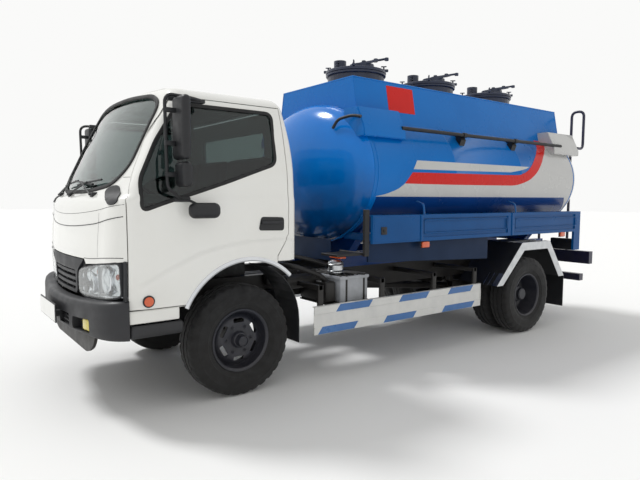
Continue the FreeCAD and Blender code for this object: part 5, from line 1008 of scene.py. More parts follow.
# Moulded shell with its openings, grates behind them and fog lamps
def frontBumper():
    holes = []
    for sign in (1, -1):
        for points in bumper["openings"]:
            outline = roundLoop([(sign * x, z) for x, z in points], 0.015, 3)
            holes.append(("DIFFERENCE", prism(bmesh.new(), outline, "XZ", along(-1.2), along(-0.86))))
    shell = carve(wrapped(bumperPlan(), bumperSection), *holes)
    piece("bumper_shell", shell, "plasticBumper", "chassis", 40, ("front_bumper",))
    plan = [(x * 0.985, y + 0.05) for x, y in bumperPlan()]
    backing = wrapped([point for point in plan if point[0] < 0.8], lambda x: bumper["backing"])
    piece("bumper_backing", backing, "plasticBlack", "chassis", 40)
    grate = bmesh.new()
    for n in range(bumper["grateBars"]):
        for sign in (1, -1):
            x = sign * (bumper["grateStart"] + n * bumper["gratePitch"])
            y = bumperFace(x) + 0.018
            roundBox(grate, (x - 0.003, x + 0.003), (y, y + 0.02), (0.56, 0.65))
    for z in bumper["grateZ"]:
        for sign in (1, -1):
            x, y = sign * bumper["grateX"], bumperFace(bumper["grateX"]) + 0.014
            roundBox(grate, (x - 0.105, x + 0.105), (y, y + 0.02), (z, z + 0.006))
    piece("bumper_grates", grate, "plasticBlack", "chassis", 40)
    lamps = bmesh.new()
    for sign in (1, -1):
        x, y = sign * bumper["fogX"], bumperFace(bumper["fogX"])
        roundBox(lamps, (x - 0.055, x + 0.055), (y + 0.012, y + 0.04), (0.568, 0.645), 0.012, 3,
                 Matrix.Rotation(sign * 0.17, 3, "Z"))
    piece("fog_lamp_lenses", lamps, "acrylicYellow", "chassis", 40, ("fog_lamps",))
    print("bumper")


# Blank number plate on its holder, and the valance below the bumper
def bumperTrim():
    piece("front_number_plate", block(*bumper["plate"]), "plateSheet", "chassis", 40)
    holder = addBlocks(block(*bumper["holder"]), bumper["holderArms"])
    piece("plate_holder", holder, "plasticBlack", "chassis", 40)
    skirt = roundLoop(bumper["valance"], 0.05, 5)
    work = prism(bmesh.new(), skirt, "XZ", along(-0.950), along(-0.930))
    addBlock(work, *bumper["shelf"])
    for sign in (1, -1):
        x = sign * bumper["hornX"]
        addBlock(work, (x - 0.04, x + 0.04), (-1.0, -0.86), (0.55, 0.72), 0.006, 1)
    piece("lower_valance", work, "lacquerChassis", "chassis", 40)
    print("bumper trim")


# Across, behind the front axle, up, rounding and its steps
entry = dict(
    sill=((0.855, 0.914), (-0.826, -0.50), (0.640, 0.722), 0.012, 3),
    tray=((0.74, 0.920), (-0.822, -0.47), (0.545, 0.634), 0.030, 4),
    well=((0.77, 0.905), (-0.79, -0.50), (0.602, 0.66), 0.008, 2),
    ribs=9, ribPitch=0.03, markerAt=-0.705, markerZ=0.776)


# Sill, step and round marker below each door
def sideSteps():
    piece("door_sills", bothSides(block(*entry["sill"])), "enamelCabWhite", "cab", 35)
    work = joined(carve(block(*entry["tray"]), ("DIFFERENCE", block(*entry["well"]))))
    for n in range(entry["ribs"]):
        y = along(-0.775 + n * entry["ribPitch"])
        roundBox(work, (0.775, 0.900), (y, y + 0.008), (0.600, 0.608))
    piece("entry_steps", bothSides(work), "plasticBumper", "chassis")
    y, z = along(entry["markerAt"]), entry["markerZ"]
    x = sideX(y, 0.773)
    ring = rod(bmesh.new(), "X", x - 0.002, x + 0.010, y, z, 0.038, 36, 0.003)
    disc = rod(bmesh.new(), "X", x + 0.002, x + 0.016, y, z, 0.030, 36, 0.005)
    for kind, shape, look in (("marker_rim_", ring, "plasticBlack"),
                              ("side_marker_", disc, "acrylicAmber")):
        mesh = asMesh(shape)
        for name, sign in leftAndRight:
            piece(kind + name, onSide(mesh, sign), look, "door_" + name)
    print("steps")


# Outlines give across and up
cowl = dict(
    vent=((0.579, 1.462), (0.604, 1.480), (0.646, 1.490), (0.691, 1.493), (0.719, 1.486),
          (0.753, 1.459), (0.806, 1.428), (0.841, 1.400), (0.832, 1.382), (0.809, 1.373),
          (0.773, 1.370), (0.727, 1.384), (0.678, 1.408), (0.596, 1.440)),
    # height at the middle, at the knee and at the side, and the radius of a crease's dark bead, which is
    # painted shade
    creases=((1.218, 1.252, 1.308, 0.0035), (1.302, 1.335, 1.380, 0.002)),
    knee=0.6, side=0.91, reach=0.885, panelSeamX=0.64, pillarSeamZ=1.545,
    wiperX=(-0.486, -0.03, 0.44), wiperZ=1.436, bladeLength=0.42, bladeZ=1.505)


def skinTree():
    skin = bpy.data.objects["front_skin"].data
    return BVHTree.FromPolygons([vert.co for vert in skin.vertices],
                                [face.vertices for face in skin.polygons])


# The front skin's place and normal, straight behind a point of the front view
def skinAt(tree, x, z):
    return tree.ray_cast(Vector((x, along(-2), z)), Vector((0, 1, 0)))[:2]


# Black vents, laid on the skin itself because the corner turns fast there
def cowlVents(tree):
    work = patch(roundLoop(cowl["vent"], 0.01, 2), 0.004, 0.03, 0.015)
    for vert in work.verts:
        hit, normal = skinAt(tree, vert.co.x, vert.co.z)
        if hit:
            outer = vert.co.y < frontY(vert.co.x, vert.co.z)
            if normal.y > 0:
                normal = -normal
            vert.co = hit + normal * (0.008 if outer else -0.012)
    piece("cowl_vents", bothSides(work), "plasticBlack", "cab", 40)


# Creases of the front panel as thin dark beads of painted shade, and its seams as dark joints
def panelSeamsAndCreaseShade(tree):
    work = bmesh.new()
    for middle, knee, side, radius in cowl["creases"]:
        line = []
        for n in range(-30, 31):
            x = cowl["reach"] * n / 30
            z = middle + (knee - middle) * (abs(x) / cowl["knee"]) ** 2
            if abs(x) >= cowl["knee"]:
                z = knee + (side - knee) * (abs(x) - cowl["knee"]) / (cowl["side"] - cowl["knee"])
            line.append((x, frontY(x, z) + 0.001, z))
        tube(work, line, radius, 6)
    for sign in (1, -1):
        x = cowl["panelSeamX"]
        heights = [1.04 + 0.02 * n for n in range(15)]
        tube(work, [(sign * x, frontY(x, z) + 0.0012, z) for z in heights], 0.0018, 6)
        line = []
        for n in range(16):
            hit = skinAt(tree, 0.712 + 0.01 * n, cowl["pillarSeamZ"])[0]
            if hit:
                line.append((sign * hit.x, hit.y + 0.0008, hit.z))
        tube(work, line, 0.0018, 6)
        line = []
        for n in range(40):
            x = 0.444 + 0.0115 * n
            z = 1.022 + 0.03 * ease(x, 0.444, 0.9)
            line.append((sign * x, frontY(x, z) + 0.0008, z))
        tube(work, line, 0.0025, 6)
    piece("panel_seams_and_crease_shade", work, "plasticBlack", "cab", 40)


# Three wipers, of which the last turns the other way
def wipers():
    work = bmesh.new()
    z = cowl["wiperZ"]
    for x in cowl["wiperX"]:
        toLeft = x < 0.4
        y = frontY(x, z)
        roundBox(work, (x - 0.028, x + 0.028), (y - 0.022, y + 0.03), (z - 0.022, z + 0.016), 0.008, 2)
        end = x + (0.30 if toLeft else -0.28)
        line = [(x + (end - x) * n / 6, frontY(x + (end - x) * n / 6, z + 0.085 * n / 6) - 0.030,
                 z + 0.085 * n / 6) for n in range(7)]
        tube(work, line, 0.006, 8)
        blade = []
        for n in range(11):
            px = end + (n / 10 - 0.5) * cowl["bladeLength"]
            pz = cowl["bladeZ"] + 0.03 * (n / 10 if toLeft else 1 - n / 10)
            if abs(px) < 0.70:
                blade.append((px, frontY(px, pz) - 0.020, pz))
        tube(work, blade, 0.007, 8)
    piece("wipers", work, "plasticBlack", "cab", 40)


def cowlParts():
    tree = skinTree()
    cowlVents(tree)
    panelSeamsAndCreaseShade(tree)
    wipers()
    print("cowl")


cabMouth()
frontBumper()
bumperTrim()
sideSteps()
cowlParts()


# Doors' hardware and mirrors

# Distances are behind the front axle
handle = dict(cup=((0.087, 1.192), (0.298, 1.186), (0.298, 1.282), (0.107, 1.288)), corner=0.025,
              middle=(0.19, 1.24), bar=(0.107, 0.278), barZ=(1.236, 1.258), barRadius=0.006)


def doorHardware():
    outline = roundLoop(sideView(handle["cup"]), handle["corner"], 4)
    at, z = handle["middle"]
    x = sideX(along(at), z)
    cup = asMesh(prism(bmesh.new(), outline, "YZ", x - 0.01, x + 0.003))
    bar = asMesh(block((x + 0.002, x + 0.020), handle["bar"], handle["barZ"], handle["barRadius"], 3))
    for name, sign in leftAndRight:
        piece("handle_cup_" + name, onSide(cup, sign), "plasticBlack", "door_" + name)
        piece("door_pull_" + name, onSide(bar, sign), "plasticBumper", "door_" + name)
    print("door hardware")


# Rows give across, behind the front axle, up, rounding and its steps
mirror = dict(
    heads=(((0.930, 1.114), (-0.548, -0.490), (1.652, 2.037), 0.028, 6),
           ((0.940, 1.106), (-0.540, -0.478), (1.486, 1.640), 0.030, 6),
           ((0.955, 1.040), (-0.465, -0.255), (1.288, 1.388), 0.040, 6)),
    clampX=(0.976, 1.002), clampAt=(-0.615, -0.535), clampZ=((1.546, 1.574), (1.736, 1.764),
                                                             (1.936, 1.964)),
    feet=(((0.868, 0.918), (-0.56, -0.31), (2.024, 2.05), 0.006, 2),
          ((0.898, 0.922), (-0.53, -0.42), (1.392, 1.424), 0.006, 2)),
    glass=(((0.956, 1.088), (-0.4915, -0.4885), (1.680, 2.009), 0.001, 1),
           ((0.968, 1.078), (-0.4795, -0.4765), (1.515, 1.612), 0.001, 1)),
    pole=((0.900, -0.32, 2.040), (0.945, -0.42, 2.046), (0.988, -0.612, 2.046),
          (0.988, -0.600, 1.48), (0.96, -0.54, 1.44), (0.905, -0.475, 1.408)),
    stay=((0.905, -0.50, 1.408), (0.96, -0.44, 1.40), (1.0, -0.40, 1.372)))


# Main, wide and kerb mirrors on their pole
def mirrors():
    work = addBlocks(bmesh.new(), mirror["heads"])
    tube(work, route(mirror["pole"], 0.06), 0.0105, 14)
    tube(work, route(mirror["stay"], 0.02), 0.008, 12)
    for zs in mirror["clampZ"]:
        addBlock(work, mirror["clampX"], mirror["clampAt"], zs, 0.004, 2)
    addBlocks(work, mirror["feet"])
    body = asMesh(work)
    glass = asMesh(addBlocks(bmesh.new(), mirror["glass"]))
    for name, sign in leftAndRight:
        piece("mirror_heads_" + name, onSide(body, sign), "plasticBlack", "door_" + name, 35,
              ("mirrors_" + name,))
        piece("mirror_glass_" + name, onSide(glass, sign), "glassMirror", "door_" + name)
    print("mirrors")


doorHardware()
mirrors()


# Cab interior: dashboard, gauges and vents

# Distances are behind the front axle; rows give across, distance, up, rounding and its steps
inside = dict(
    dash=((-0.845, 1.12), (-0.73, 1.17), (-0.68, 1.24), (-0.69, 1.33), (-0.73, 1.385),
          (-0.82, 1.405), (-0.85, 1.40), (-0.855, 1.30)),
    dashHalf=0.62,
    ends=(((-0.74, -0.60), (-0.80, -0.685), (1.18, 1.385), 0.02, 3),
          ((0.60, 0.74), (-0.80, -0.685), (1.18, 1.385), 0.02, 3),
          ((-0.16, 0.20), (-0.72, -0.665), (1.06, 1.34), 0.02, 3)),
    hood=((0.30, 0.66), (-0.80, -0.675), (1.33, 1.445), 0.03, 4),
    dials=((0.40, 0.045), (0.50, 0.045), (0.585, 0.028)), dialZ=1.392,
    vents=(-0.66, -0.08, 0.10, 0.66), slats=5, slatZ=1.27, slatPitch=0.014)


def cabInside():
    work = prism(bmesh.new(), sideView(inside["dash"]), "YZ", -inside["dashHalf"], inside["dashHalf"])
    addBlocks(work, inside["ends"])
    piece("dash_top", work, "plasticCabInside", "cab", 35, ("dashboard",))
    piece("instrument_hood", block(*inside["hood"]), "plasticBlack", "cab")
    dials = bmesh.new()
    for x, radius in inside["dials"]:
        rod(dials, "Y", along(-0.678), along(-0.671), x, inside["dialZ"], radius, 32, 0.002)
    piece("gauges", dials, "plateSheet", "cab")
    vents = bmesh.new()
    for x in inside["vents"]:
        for n in range(inside["slats"]):
            z = inside["slatZ"] + n * inside["slatPitch"]
            addBlock(vents, (x - 0.05, x + 0.05), (-0.69, -0.675), (z, z + 0.006))
    piece("air_vents", vents, "plasticBlack", "cab")
    print("cab inside")


cabInside()


# Tank with its painted livery

tank = dict(front=1.228, rear=4.400, half=0.865, tall=0.640, axis=1.642, dish=0.262,
            sides=168, bead=0.016, rise=0.005, paint=0.0012)
livery = dict(  # distance behind the front axle and height, read along the flank
    redTop=((1.679, 1.650), (2.378, 1.659), (3.211, 1.670), (3.361, 1.689), (3.462, 1.725),
            (3.562, 1.791), (3.659, 1.867), (3.776, 1.955), (3.875, 2.030), (3.94, 2.10)),
    redLow=((1.594, 1.551), (2.242, 1.552), (3.048, 1.559), (3.190, 1.562), (3.297, 1.574),
            (3.422, 1.605), (3.513, 1.639), (3.613, 1.697), (3.687, 1.755), (3.776, 1.831),
            (3.858, 1.900), (4.064, 2.046), (4.13, 2.12)),
    band=((1.747, 1.758), (3.50, 1.766), (3.44, 1.745), (3.309, 1.720), (3.141, 1.697),
          (2.379, 1.686), (1.692, 1.678)),
    tail=((1.262, 1.437), (1.352, 1.450), (1.439, 1.473), (1.526, 1.506), (1.594, 1.551)),
    low=1.437, lowRear=4.277)


# A smooth open line through points
def flow(points, steps=5):
    ends = [points[0]] + list(points) + [points[-1]]
    result = []
    for before, first, last, after in zip(ends, ends[1:], ends[2:], ends[3:]):
        for step in range(steps):
            share = step / steps
            spot = []
            for axis in range(len(first)):
                a, b, c, d = before[axis], first[axis], last[axis], after[axis]
                spot.append(0.5 * (2 * b + (c - a) * share + (2 * a - 5 * b + 4 * c - d) * share ** 2
                                   + (3 * b - a - 3 * c + d) * share ** 3))
            result.append(tuple(spot))
    return result + [tuple(points[-1])]


def ovalRow(distance, share=1.0, rise=0.0):
    row = []
    for index in range(tank["sides"]):
        angle = 2 * math.pi * index / tank["sides"]
        row.append(Vector(((tank["half"] * share + rise) * math.sin(angle), along(distance),
                           tank["axis"] - (tank["tall"] * share + rise) * math.cos(angle))))
    return row


def weldRows(middle, width, rise):
    shape = ((-0.5, 0.0), (-0.42, 0.55), (-0.2, 0.95), (0.0, 1.0), (0.2, 0.95), (0.42, 0.55),
             (0.5, 0.0))
    return [ovalRow(middle + width * place, 1.0, rise * lift) for place, lift in shape]


def tankBarrel():
    work = bmesh.new()
    bead, rise = tank["bead"], tank["rise"]
    rows = weldRows(tank["front"] + bead / 2, bead, rise)
    rows += weldRows(tank["front"] + bead * 3, bead, rise)
    for seam in (2.27, 3.34):  # plate joints, ground nearly flat
        rows += weldRows(seam, 0.012, 0.0012)
    rows += weldRows(tank["rear"] - bead / 2, bead, rise)
    grid(work, rows, wrapColumn=True, caps=True)
    piece("tank_shell", work, "enamelTankBlue", "chassis", 35, ("tank_barrel",))
    for name, edge, sign, look in (("front", tank["front"], -1, "enamelHeadBlue"),
                                   ("rear", tank["rear"], 1, "enamelPaleGrey")):
        work = bmesh.new()
        rows = []
        for step in range(20):
            angle = math.radians(4.5 * step)
            rows.append(ovalRow(edge + sign * tank["dish"] * math.sin(angle), math.cos(angle)))
        grid(work, rows, wrapColumn=True, caps=True)
        piece("tank_head_" + name, work, look, "chassis", 40,
              ("tank_heads",) if sign < 0 else ())


def paintShell():
    work = bmesh.new()
    outer = [ovalRow(place, 1.0, tank["paint"]) for place in (1.20, 4.4002)]
    inner = [ovalRow(place, 1.0, -0.004) for place in (4.4002, 1.20)]
    grid(work, outer + inner, wrapRow=True, wrapColumn=True)
    return asMesh(work)


def decal(name, outline, look, coat):
    half = carve(coat, ("INTERSECT", prism(bmesh.new(), sideView(outline), "YZ", 0.02, 1.0)))
    piece(name, bothSides(half), look, "chassis", 30)


def tankLivery():
    coat = paintShell()
    top, low = flow(livery["redTop"]), flow(livery["redLow"])
    decal("stripe_red", top + low[::-1], "enamelStripeRed", coat)
    decal("stripe_pale", list(livery["band"]), "enamelPaleGrey", coat)
    grey = flow(livery["tail"]) + low[1:]
    grey += [(4.16, 2.26), (4.3999, 2.26), (4.3999, 1.00), (4.385, 1.20), (4.361, 1.325),
             (livery["lowRear"], livery["low"] + 0.004)]
    decal("field_pale", grey, "enamelPaleGrey", coat)
    # below the livery line the barrel's own blue is darkened: painted shade
    paintedShadeField = [(1.2925, livery["low"] - 0.001), (livery["lowRear"] - 0.003, livery["low"] + 0.002),
            (4.357, 1.322), (4.381, 1.20), (4.382, 0.98), (1.2925, 0.98)]
    decal("field_deep_shade", paintedShadeField, "enamelBlueInPaintedShade", coat)
    print("livery")


shoulder = dict(
    outer=0.815, top=2.19, low=1.925, railX=0.800, railZ=2.032, railRadius=0.017,
    # distances behind the front axle; sections give across and up
    boxes=(("front", 1.15, 1.64, "enamelTankBlue"), ("rear", 4.04, 4.58, "enamelPaleGrey")),
    railFront=1.60, railRear=4.20, brackets=(2.458, 3.302),
    arm=((0.62, 2.06), (0.665, 1.985), (0.805, 2.03), (0.80, 2.045)),
    foot=((0.668, 1.975), (0.745, 1.87), (0.79, 1.985), (0.77, 2.03)))


# Corner boxes that lie on the tank's shoulders
def shoulderBoxes():
    outer, top, low = shoulder["outer"], shoulder["top"], shoulder["low"]
    section = ((0.545, top), (0.545, 1.95), (0.62, low), (outer, low + 0.012), (outer, low + 0.075),
               (0.725, top))
    for name, start, end, look in shoulder["boxes"]:
        blank = prism(bmesh.new(), section, "XZ", along(start), along(end))
        bmesh.ops.recalc_face_normals(blank, faces=blank.faces)
        bmesh.ops.bevel(blank, geom=list(blank.edges), offset=0.006, segments=2,
                        affect="EDGES", clamp_overlap=True)
        box = carve(blank, ("DIFFERENCE", tankSolid()))
        piece("shoulder_box_" + name, bothSides(box), look, "chassis", 30,
              ("shoulder_boxes",) if name == "front" else ())


# Tube rails along the tank's shoulders, with their brackets
def shoulderRails():
    work = bmesh.new()
    up, radius = shoulder["railZ"], shoulder["railRadius"]
    for sign in (1, -1):
        x = shoulder["railX"] * sign
        rod(work, "Y", along(shoulder["railFront"]), along(shoulder["railRear"]), x, up, radius, 20,
            0.003)
        for place in shoulder["brackets"]:
            y = along(place)
            arm = [(across * sign, z) for across, z in shoulder["arm"]]
            joinInto(work, prism(bmesh.new(), arm, "XZ", y - 0.004, y + 0.004))
            rod(work, "Y", y - 0.024, y + 0.024, x, up, 0.024, 20, 0.003)
            foot = [(across * sign, z) for across, z in shoulder["foot"]]
            joinInto(work, prism(bmesh.new(), foot, "XZ", y - 0.035, y + 0.035))
    piece("shoulder_tubes", work, "lacquerChassis", "chassis", 35,
          ("shoulder_rails",))


def tankSolid():
    work = bmesh.new()
    front, rear, turns = tank["front"], tank["rear"], [math.radians(t) for t in (84, 66, 48, 30, 15)]
    rows = [ovalRow(front - 0.26 * math.sin(turn), math.cos(turn)) for turn in turns]
    rows += [ovalRow(front), ovalRow(rear)]
    rows += [ovalRow(rear + 0.26 * math.sin(turn), math.cos(turn)) for turn in turns[::-1]]
    grid(work, rows, wrapColumn=True, caps=True)
    return work


spill = dict(front=1.255, rear=4.48, top=2.479, low=2.094, topHalf=0.539, lowHalf=0.612, plateZ=2.325,
             plate=((-0.0015, 0.0015), (1.645, 1.985), (-0.12, 0.12), 0.0008, 1))


# Folded rim, corner welds and the blank red hazard plate
def spillTrim():
    front, rear = along(spill["front"]), along(spill["rear"])
    half, top = spill["topHalf"], spill["top"]
    work = bmesh.new()
    loop = [(-half, front, top), (half, front, top), (half, rear, top), (-half, rear, top)]
    tube(work, [Vector(point) + Vector((0, 0, -0.004)) for point in loop], 0.007, 8, True)
    for x in (-1, 1):
        for y in (front, rear):
            tube(work, [(x * spill["lowHalf"], y, spill["low"]), (x * half, y, top)], 0.004, 6)
    piece("spill_box_rim", work, "enamelTankBlue", "chassis", 40)
    slope = (spill["lowHalf"] - spill["topHalf"]) / (spill["top"] - spill["low"])
    for name, sign in leftAndRight:
        work = block(*spill["plate"])
        turn = Matrix.Rotation(-math.atan(slope) * sign, 4, "Y")
        bmesh.ops.transform(work, matrix=turn, verts=work.verts)
        x = spill["topHalf"] + slope * (top - spill["plateZ"])
        bmesh.ops.translate(work, vec=((x + 0.001) * sign, 0, spill["plateZ"]), verts=work.verts)
        piece("hazard_plate_" + name, work, "enamelStripeRed", "chassis", 30)


tankBarrel()
tankLivery()
shoulderBoxes()
shoulderRails()
spillTrim()
print("tank")


# Wheels

wheel = dict(
    steps=192, turned=72, frontX=0.7275, outerX=0.8585, innerX=0.6135,
    # rims give station and radius, outwards from the tyre's middle
    frontRim=((-0.089, 0.203), (-0.089, 0.224), (-0.086, 0.227), (-0.080, 0.226), (-0.079, 0.2125),
              (0.079, 0.2125), (0.080, 0.226), (0.086, 0.228), (0.090, 0.225), (0.089, 0.216),
              (0.080, 0.206), (0.040, 0.202), (0.020, 0.198), (0.012, 0.192), (0.022, 0.182),
              (0.042, 0.160), (0.052, 0.140), (0.052, 0.118), (0.050, 0.090), (0.050, 0.062),
              (0.070, 0.058), (0.078, 0.052), (0.080, 0.046), (0.100, 0.044), (0.112, 0.040),
              (0.1235, 0.038), (0.1235, 0.036), (0.115, 0.033), (0.115, 0.0), (0.062, 0.0),
              (0.062, 0.036), (-0.008, 0.036), (-0.008, 0.052), (0.040, 0.058), (0.042, 0.118),
              (0.042, 0.138), (0.032, 0.156), (0.010, 0.178), (-0.002, 0.190), (-0.004, 0.200),
              (-0.060, 0.203)),
    rearRim=((-0.089, 0.203), (-0.089, 0.225), (-0.080, 0.226), (-0.079, 0.2125), (0.079, 0.2125),
             (0.080, 0.226), (0.086, 0.228), (0.090, 0.225), (0.089, 0.216), (0.078, 0.207),
             (-0.080, 0.199), (-0.098, 0.190), (-0.112, 0.172), (-0.118, 0.150), (-0.118, 0.118),
             (-0.106, 0.100), (-0.104, 0.092), (-0.020, 0.088), (-0.006, 0.080), (0.002, 0.066),
             (0.030, 0.062), (0.038, 0.052), (0.038, 0.0), (0.012, 0.0), (0.012, 0.036),
             (-0.122, 0.036), (-0.122, 0.190), (-0.100, 0.203)),
    innerRim=((-0.089, 0.203), (-0.089, 0.225), (-0.080, 0.226), (-0.079, 0.2125), (0.079, 0.2125),
              (0.080, 0.226), (0.089, 0.225), (0.089, 0.203), (0.122, 0.190), (0.122, 0.160),
              (0.030, 0.160), (0.030, 0.036), (0.020, 0.036), (0.020, 0.168), (0.100, 0.168),
              (0.080, 0.200)),
    # slots: their two depths, pitch radius, number, width and height
    frontSlots=(-0.02, 0.07, 0.142, 6, 0.085, 0.030), rearSlots=(-0.14, -0.08, 0.150, 6, 0.070, 0.032),
    # nuts: their seat, pitch radius, number, radius and height
    frontNuts=(0.049, 0.100, 6, 0.0115, 0.012), rearNuts=(-0.112, 0.112, 6, 0.0155, 0.034))
# lugs take two steps in six; shoulderRows count from the bead inwards
tyre = dict(groove=0.0045, zag=0.0032, lugSteps=6, lugDepth=0.0075, shoulderDepth=0.004,
            shoulderIn=0.985, shoulderRows=(13, 15))


# One road tyre: ribs with zigzag grooves, lugs on the shoulders, ringed walls
def tyreMesh(centreX, centreY):
    work = bmesh.new()
    wall = ((0.0790, 0.2140), (0.0830, 0.2290), (0.0900, 0.2420), (0.0985, 0.2600),
            (0.1005, 0.2640), (0.1030, 0.2660), (0.1045, 0.2740), (0.1068, 0.2950),
            (0.1075, 0.3180), (0.1068, 0.3360), (0.1078, 0.3390), (0.1062, 0.3430),
            (0.1035, 0.3580), (0.0990, 0.3720), (0.0965, 0.3790), (0.0925, 0.3880))
    groove = tyre["groove"]
    treadHalf = [(0.0850, 0.3955, 0, 1), (0.0700, 0.3985, 0, 1), (0.0560, 0.4000, 0, 0),
                 (0.0500 + groove, 0.4002, 1, 0), (0.0500 + groove * 0.6, 0.3915, 1, 0),
                 (0.0500 - groove * 0.6, 0.3915, 1, 0), (0.0500 - groove, 0.4005, 1, 0),
                 (0.0300, 0.4012, 0, 0), (0.0050 + groove, 0.4018, 1, 0),
                 (0.0050 + groove * 0.6, 0.3925, 1, 0)]
    profile = [(x, r, 0, 0) for x, r in wall] + treadHalf
    profile += [(-x, r, zig, lug) for x, r, zig, lug in reversed(treadHalf)]
    profile += [(-x, r, 0, 0) for x, r in reversed(wall)]
    rows = []
    last = len(profile) - 1
    first, final = tyre["shoulderRows"]
    for index in range(wheel["steps"]):
        angle = 2 * math.pi * index / wheel["steps"]
        zag = (0.0, tyre["zag"], 0.0, -tyre["zag"])[index % 4]
        cut = index % tyre["lugSteps"] < 2
        row = []
        for place, (x, r, zig, lug) in enumerate(profile):
            if cut and lug:
                r -= tyre["lugDepth"]
            if cut and first <= min(place, last - place) <= final:
                r -= tyre["shoulderDepth"]
                x *= tyre["shoulderIn"]
            row.append(Vector((centreX + x + zig * zag, centreY + r * math.sin(angle),
                               wheelZ + r * math.cos(angle))))
        rows.append(row)
    grid(work, rows, wrapRow=True)
    edges = [edge for edge in work.edges if edge.is_boundary]
    bmesh.ops.bridge_loops(work, edges=edges)
    return work


# Wheel nuts with their washers and stud ends
def nutRing(work, x, y, sign, pitch, count, radius, height):
    for index in range(count):
        angle = 2 * math.pi * (index + 0.5) / count
        across, up = y + pitch * math.sin(angle), wheelZ + pitch * math.cos(angle)
        rod(work, "X", x, x + sign * height, across, up, radius, 6, 0.002)
        rod(work, "X", x, x + sign * (height + 0.008), across, up, radius * 0.5, 10, 0.001)
        rod(work, "X", x, x + sign * 0.004, across, up, radius * 1.5, 16, 0.001)


def turnedRim(kind, x, y, sign):
    profile = [(station * sign, radius) for station, radius in wheel[kind + "Rim"]]
    return asMesh(lathe(bmesh.new(), profile, wheel["turned"], "X", (x, y, wheelZ)))


# Cuts rounded slots round a wheel disc
def slotted(mesh, y, x0, x1, pitch, count, wide, tall):
    tools = bmesh.new()
    for index in range(count):
        angle = 2 * math.pi * index / count
        outline = roundLoop(((-wide / 2, -tall / 2), (wide / 2, -tall / 2), (wide / 2, tall / 2),
                             (-wide / 2, tall / 2)), tall * 0.45, 5)
        spots = []
        for across, up in outline:
            bendDown = pitch - math.sqrt(pitch ** 2 - across ** 2)
            spots.append((across, pitch + up - bendDown))
        turned = [(y + a * math.cos(angle) + u * math.sin(angle),
                   wheelZ - a * math.sin(angle) + u * math.cos(angle)) for a, u in spots]
        joinInto(tools, prism(bmesh.new(), turned, "YZ", min(x0, x1), max(x0, x1)))
    return carve(mesh, ("DIFFERENCE", tools))


# A steel wheel: its turned rim with slots and nuts
def steelWheel(kind, x, y, sign):
    inner, outer, *slots = wheel[kind + "Slots"]
    seat, *nuts = wheel[kind + "Nuts"]
    rim = turnedRim(kind, x, y, sign)
    whole = joined(slotted(rim, y, x + inner * sign, x + outer * sign, *slots))
    nutRing(whole, x + seat * sign, y, sign, *nuts)
    return whole


def frontWheel(name, sign):
    x, body = wheel["frontX"] * sign, "front_wheel_" + name
    piece("road_tyre_front_" + name, tyreMesh(x, axleFront), "rubberTyre", body, 40,
          ("front_tyre_" + name,))
    piece("steel_wheel_front_" + name, steelWheel("front", x, axleFront, sign), "enamelWheel", body, 30,
          ("front_rim_" + name,))


def rearWheels(name, sign):
    outer, inner = wheel["outerX"] * sign, wheel["innerX"] * sign
    body = "rear_wheels_" + name
    tyres = tyreMesh(outer, axleRear)
    joinInto(tyres, tyreMesh(inner, axleRear))
    piece("road_tyres_rear_" + name, tyres, "rubberTyre", body, 40,
          ("rear_tyres_" + name,))
    whole = steelWheel("rear", outer, axleRear, sign)
    whole.from_mesh(turnedRim("inner", inner, axleRear, sign))
    piece("steel_wheels_rear_" + name, whole, "enamelWheel", body, 30,
          ("rear_rims_" + name,))


for wheelSide, wheelSign in leftAndRight:
    frontWheel(wheelSide, wheelSign)
    rearWheels(wheelSide, wheelSign)
print("wheels")


# Guards, panels and fenders along the sides

guard = dict(
    front=0.567, rear=2.606,
    profile=((0.901, 0.373), (0.929, 0.375), (0.929, 0.433), (0.923, 0.437), (0.923, 0.529),
             (0.929, 0.533), (0.929, 0.591), (0.901, 0.593), (0.901, 0.589), (0.922, 0.588),
             (0.917, 0.440), (0.922, 0.378), (0.901, 0.377)),
    # low and high edge of the slanted blocks, and their spans behind the front axle
    blocks=((0.534, 0.590, ((0.777, 1.124), (1.470, 1.815), (2.110, 2.440))),
            (0.376, 0.432, ((0.600, 0.965), (1.290, 1.650), (2.030, 2.465)))),
    blockX=(0.9285, 0.9302), slant=0.045, armShares=(0.04, 0.36, 0.68, 0.97))


# Folded guard boards with slanted blocks, and their brackets
def sideGuards():
    y0, y1 = along(guard["front"]), along(guard["rear"])
    board = prism(bmesh.new(), guard["profile"], "XZ", y0, y1)
    roundBox(board, (0.901, 0.929), (y1 - 0.006, y1), (0.373, 0.593))
    blocks = bmesh.new()
    slant = guard["slant"]
    for low, high, spans in guard["blocks"]:
        for start, end in spans:
            edge = ((start, low), (end, low), (end + slant, high), (start + slant, high))
            prism(blocks, sideView(edge), "YZ", *guard["blockX"])
    arms = bmesh.new()
    for share in guard["armShares"]:
        y = y0 + (y1 - y0) * share
        roundBox(arms, (0.880, 0.902), (y - 0.025, y + 0.025), (0.380, 0.750), 0.004, 2)
        roundBox(arms, (0.385, 0.902), (y - 0.020, y + 0.020), (0.710, 0.750), 0.004, 2)
    piece("guard_boards", bothSides(board), "enamelGuardGrey", "chassis", 30, ("side_guards",))
    piece("guard_blocks", bothSides(blocks), "enamelGuardBlue", "chassis", 30)
    piece("guard_arms", bothSides(arms), "lacquerChassis", "chassis", 30)
    print("side guards")


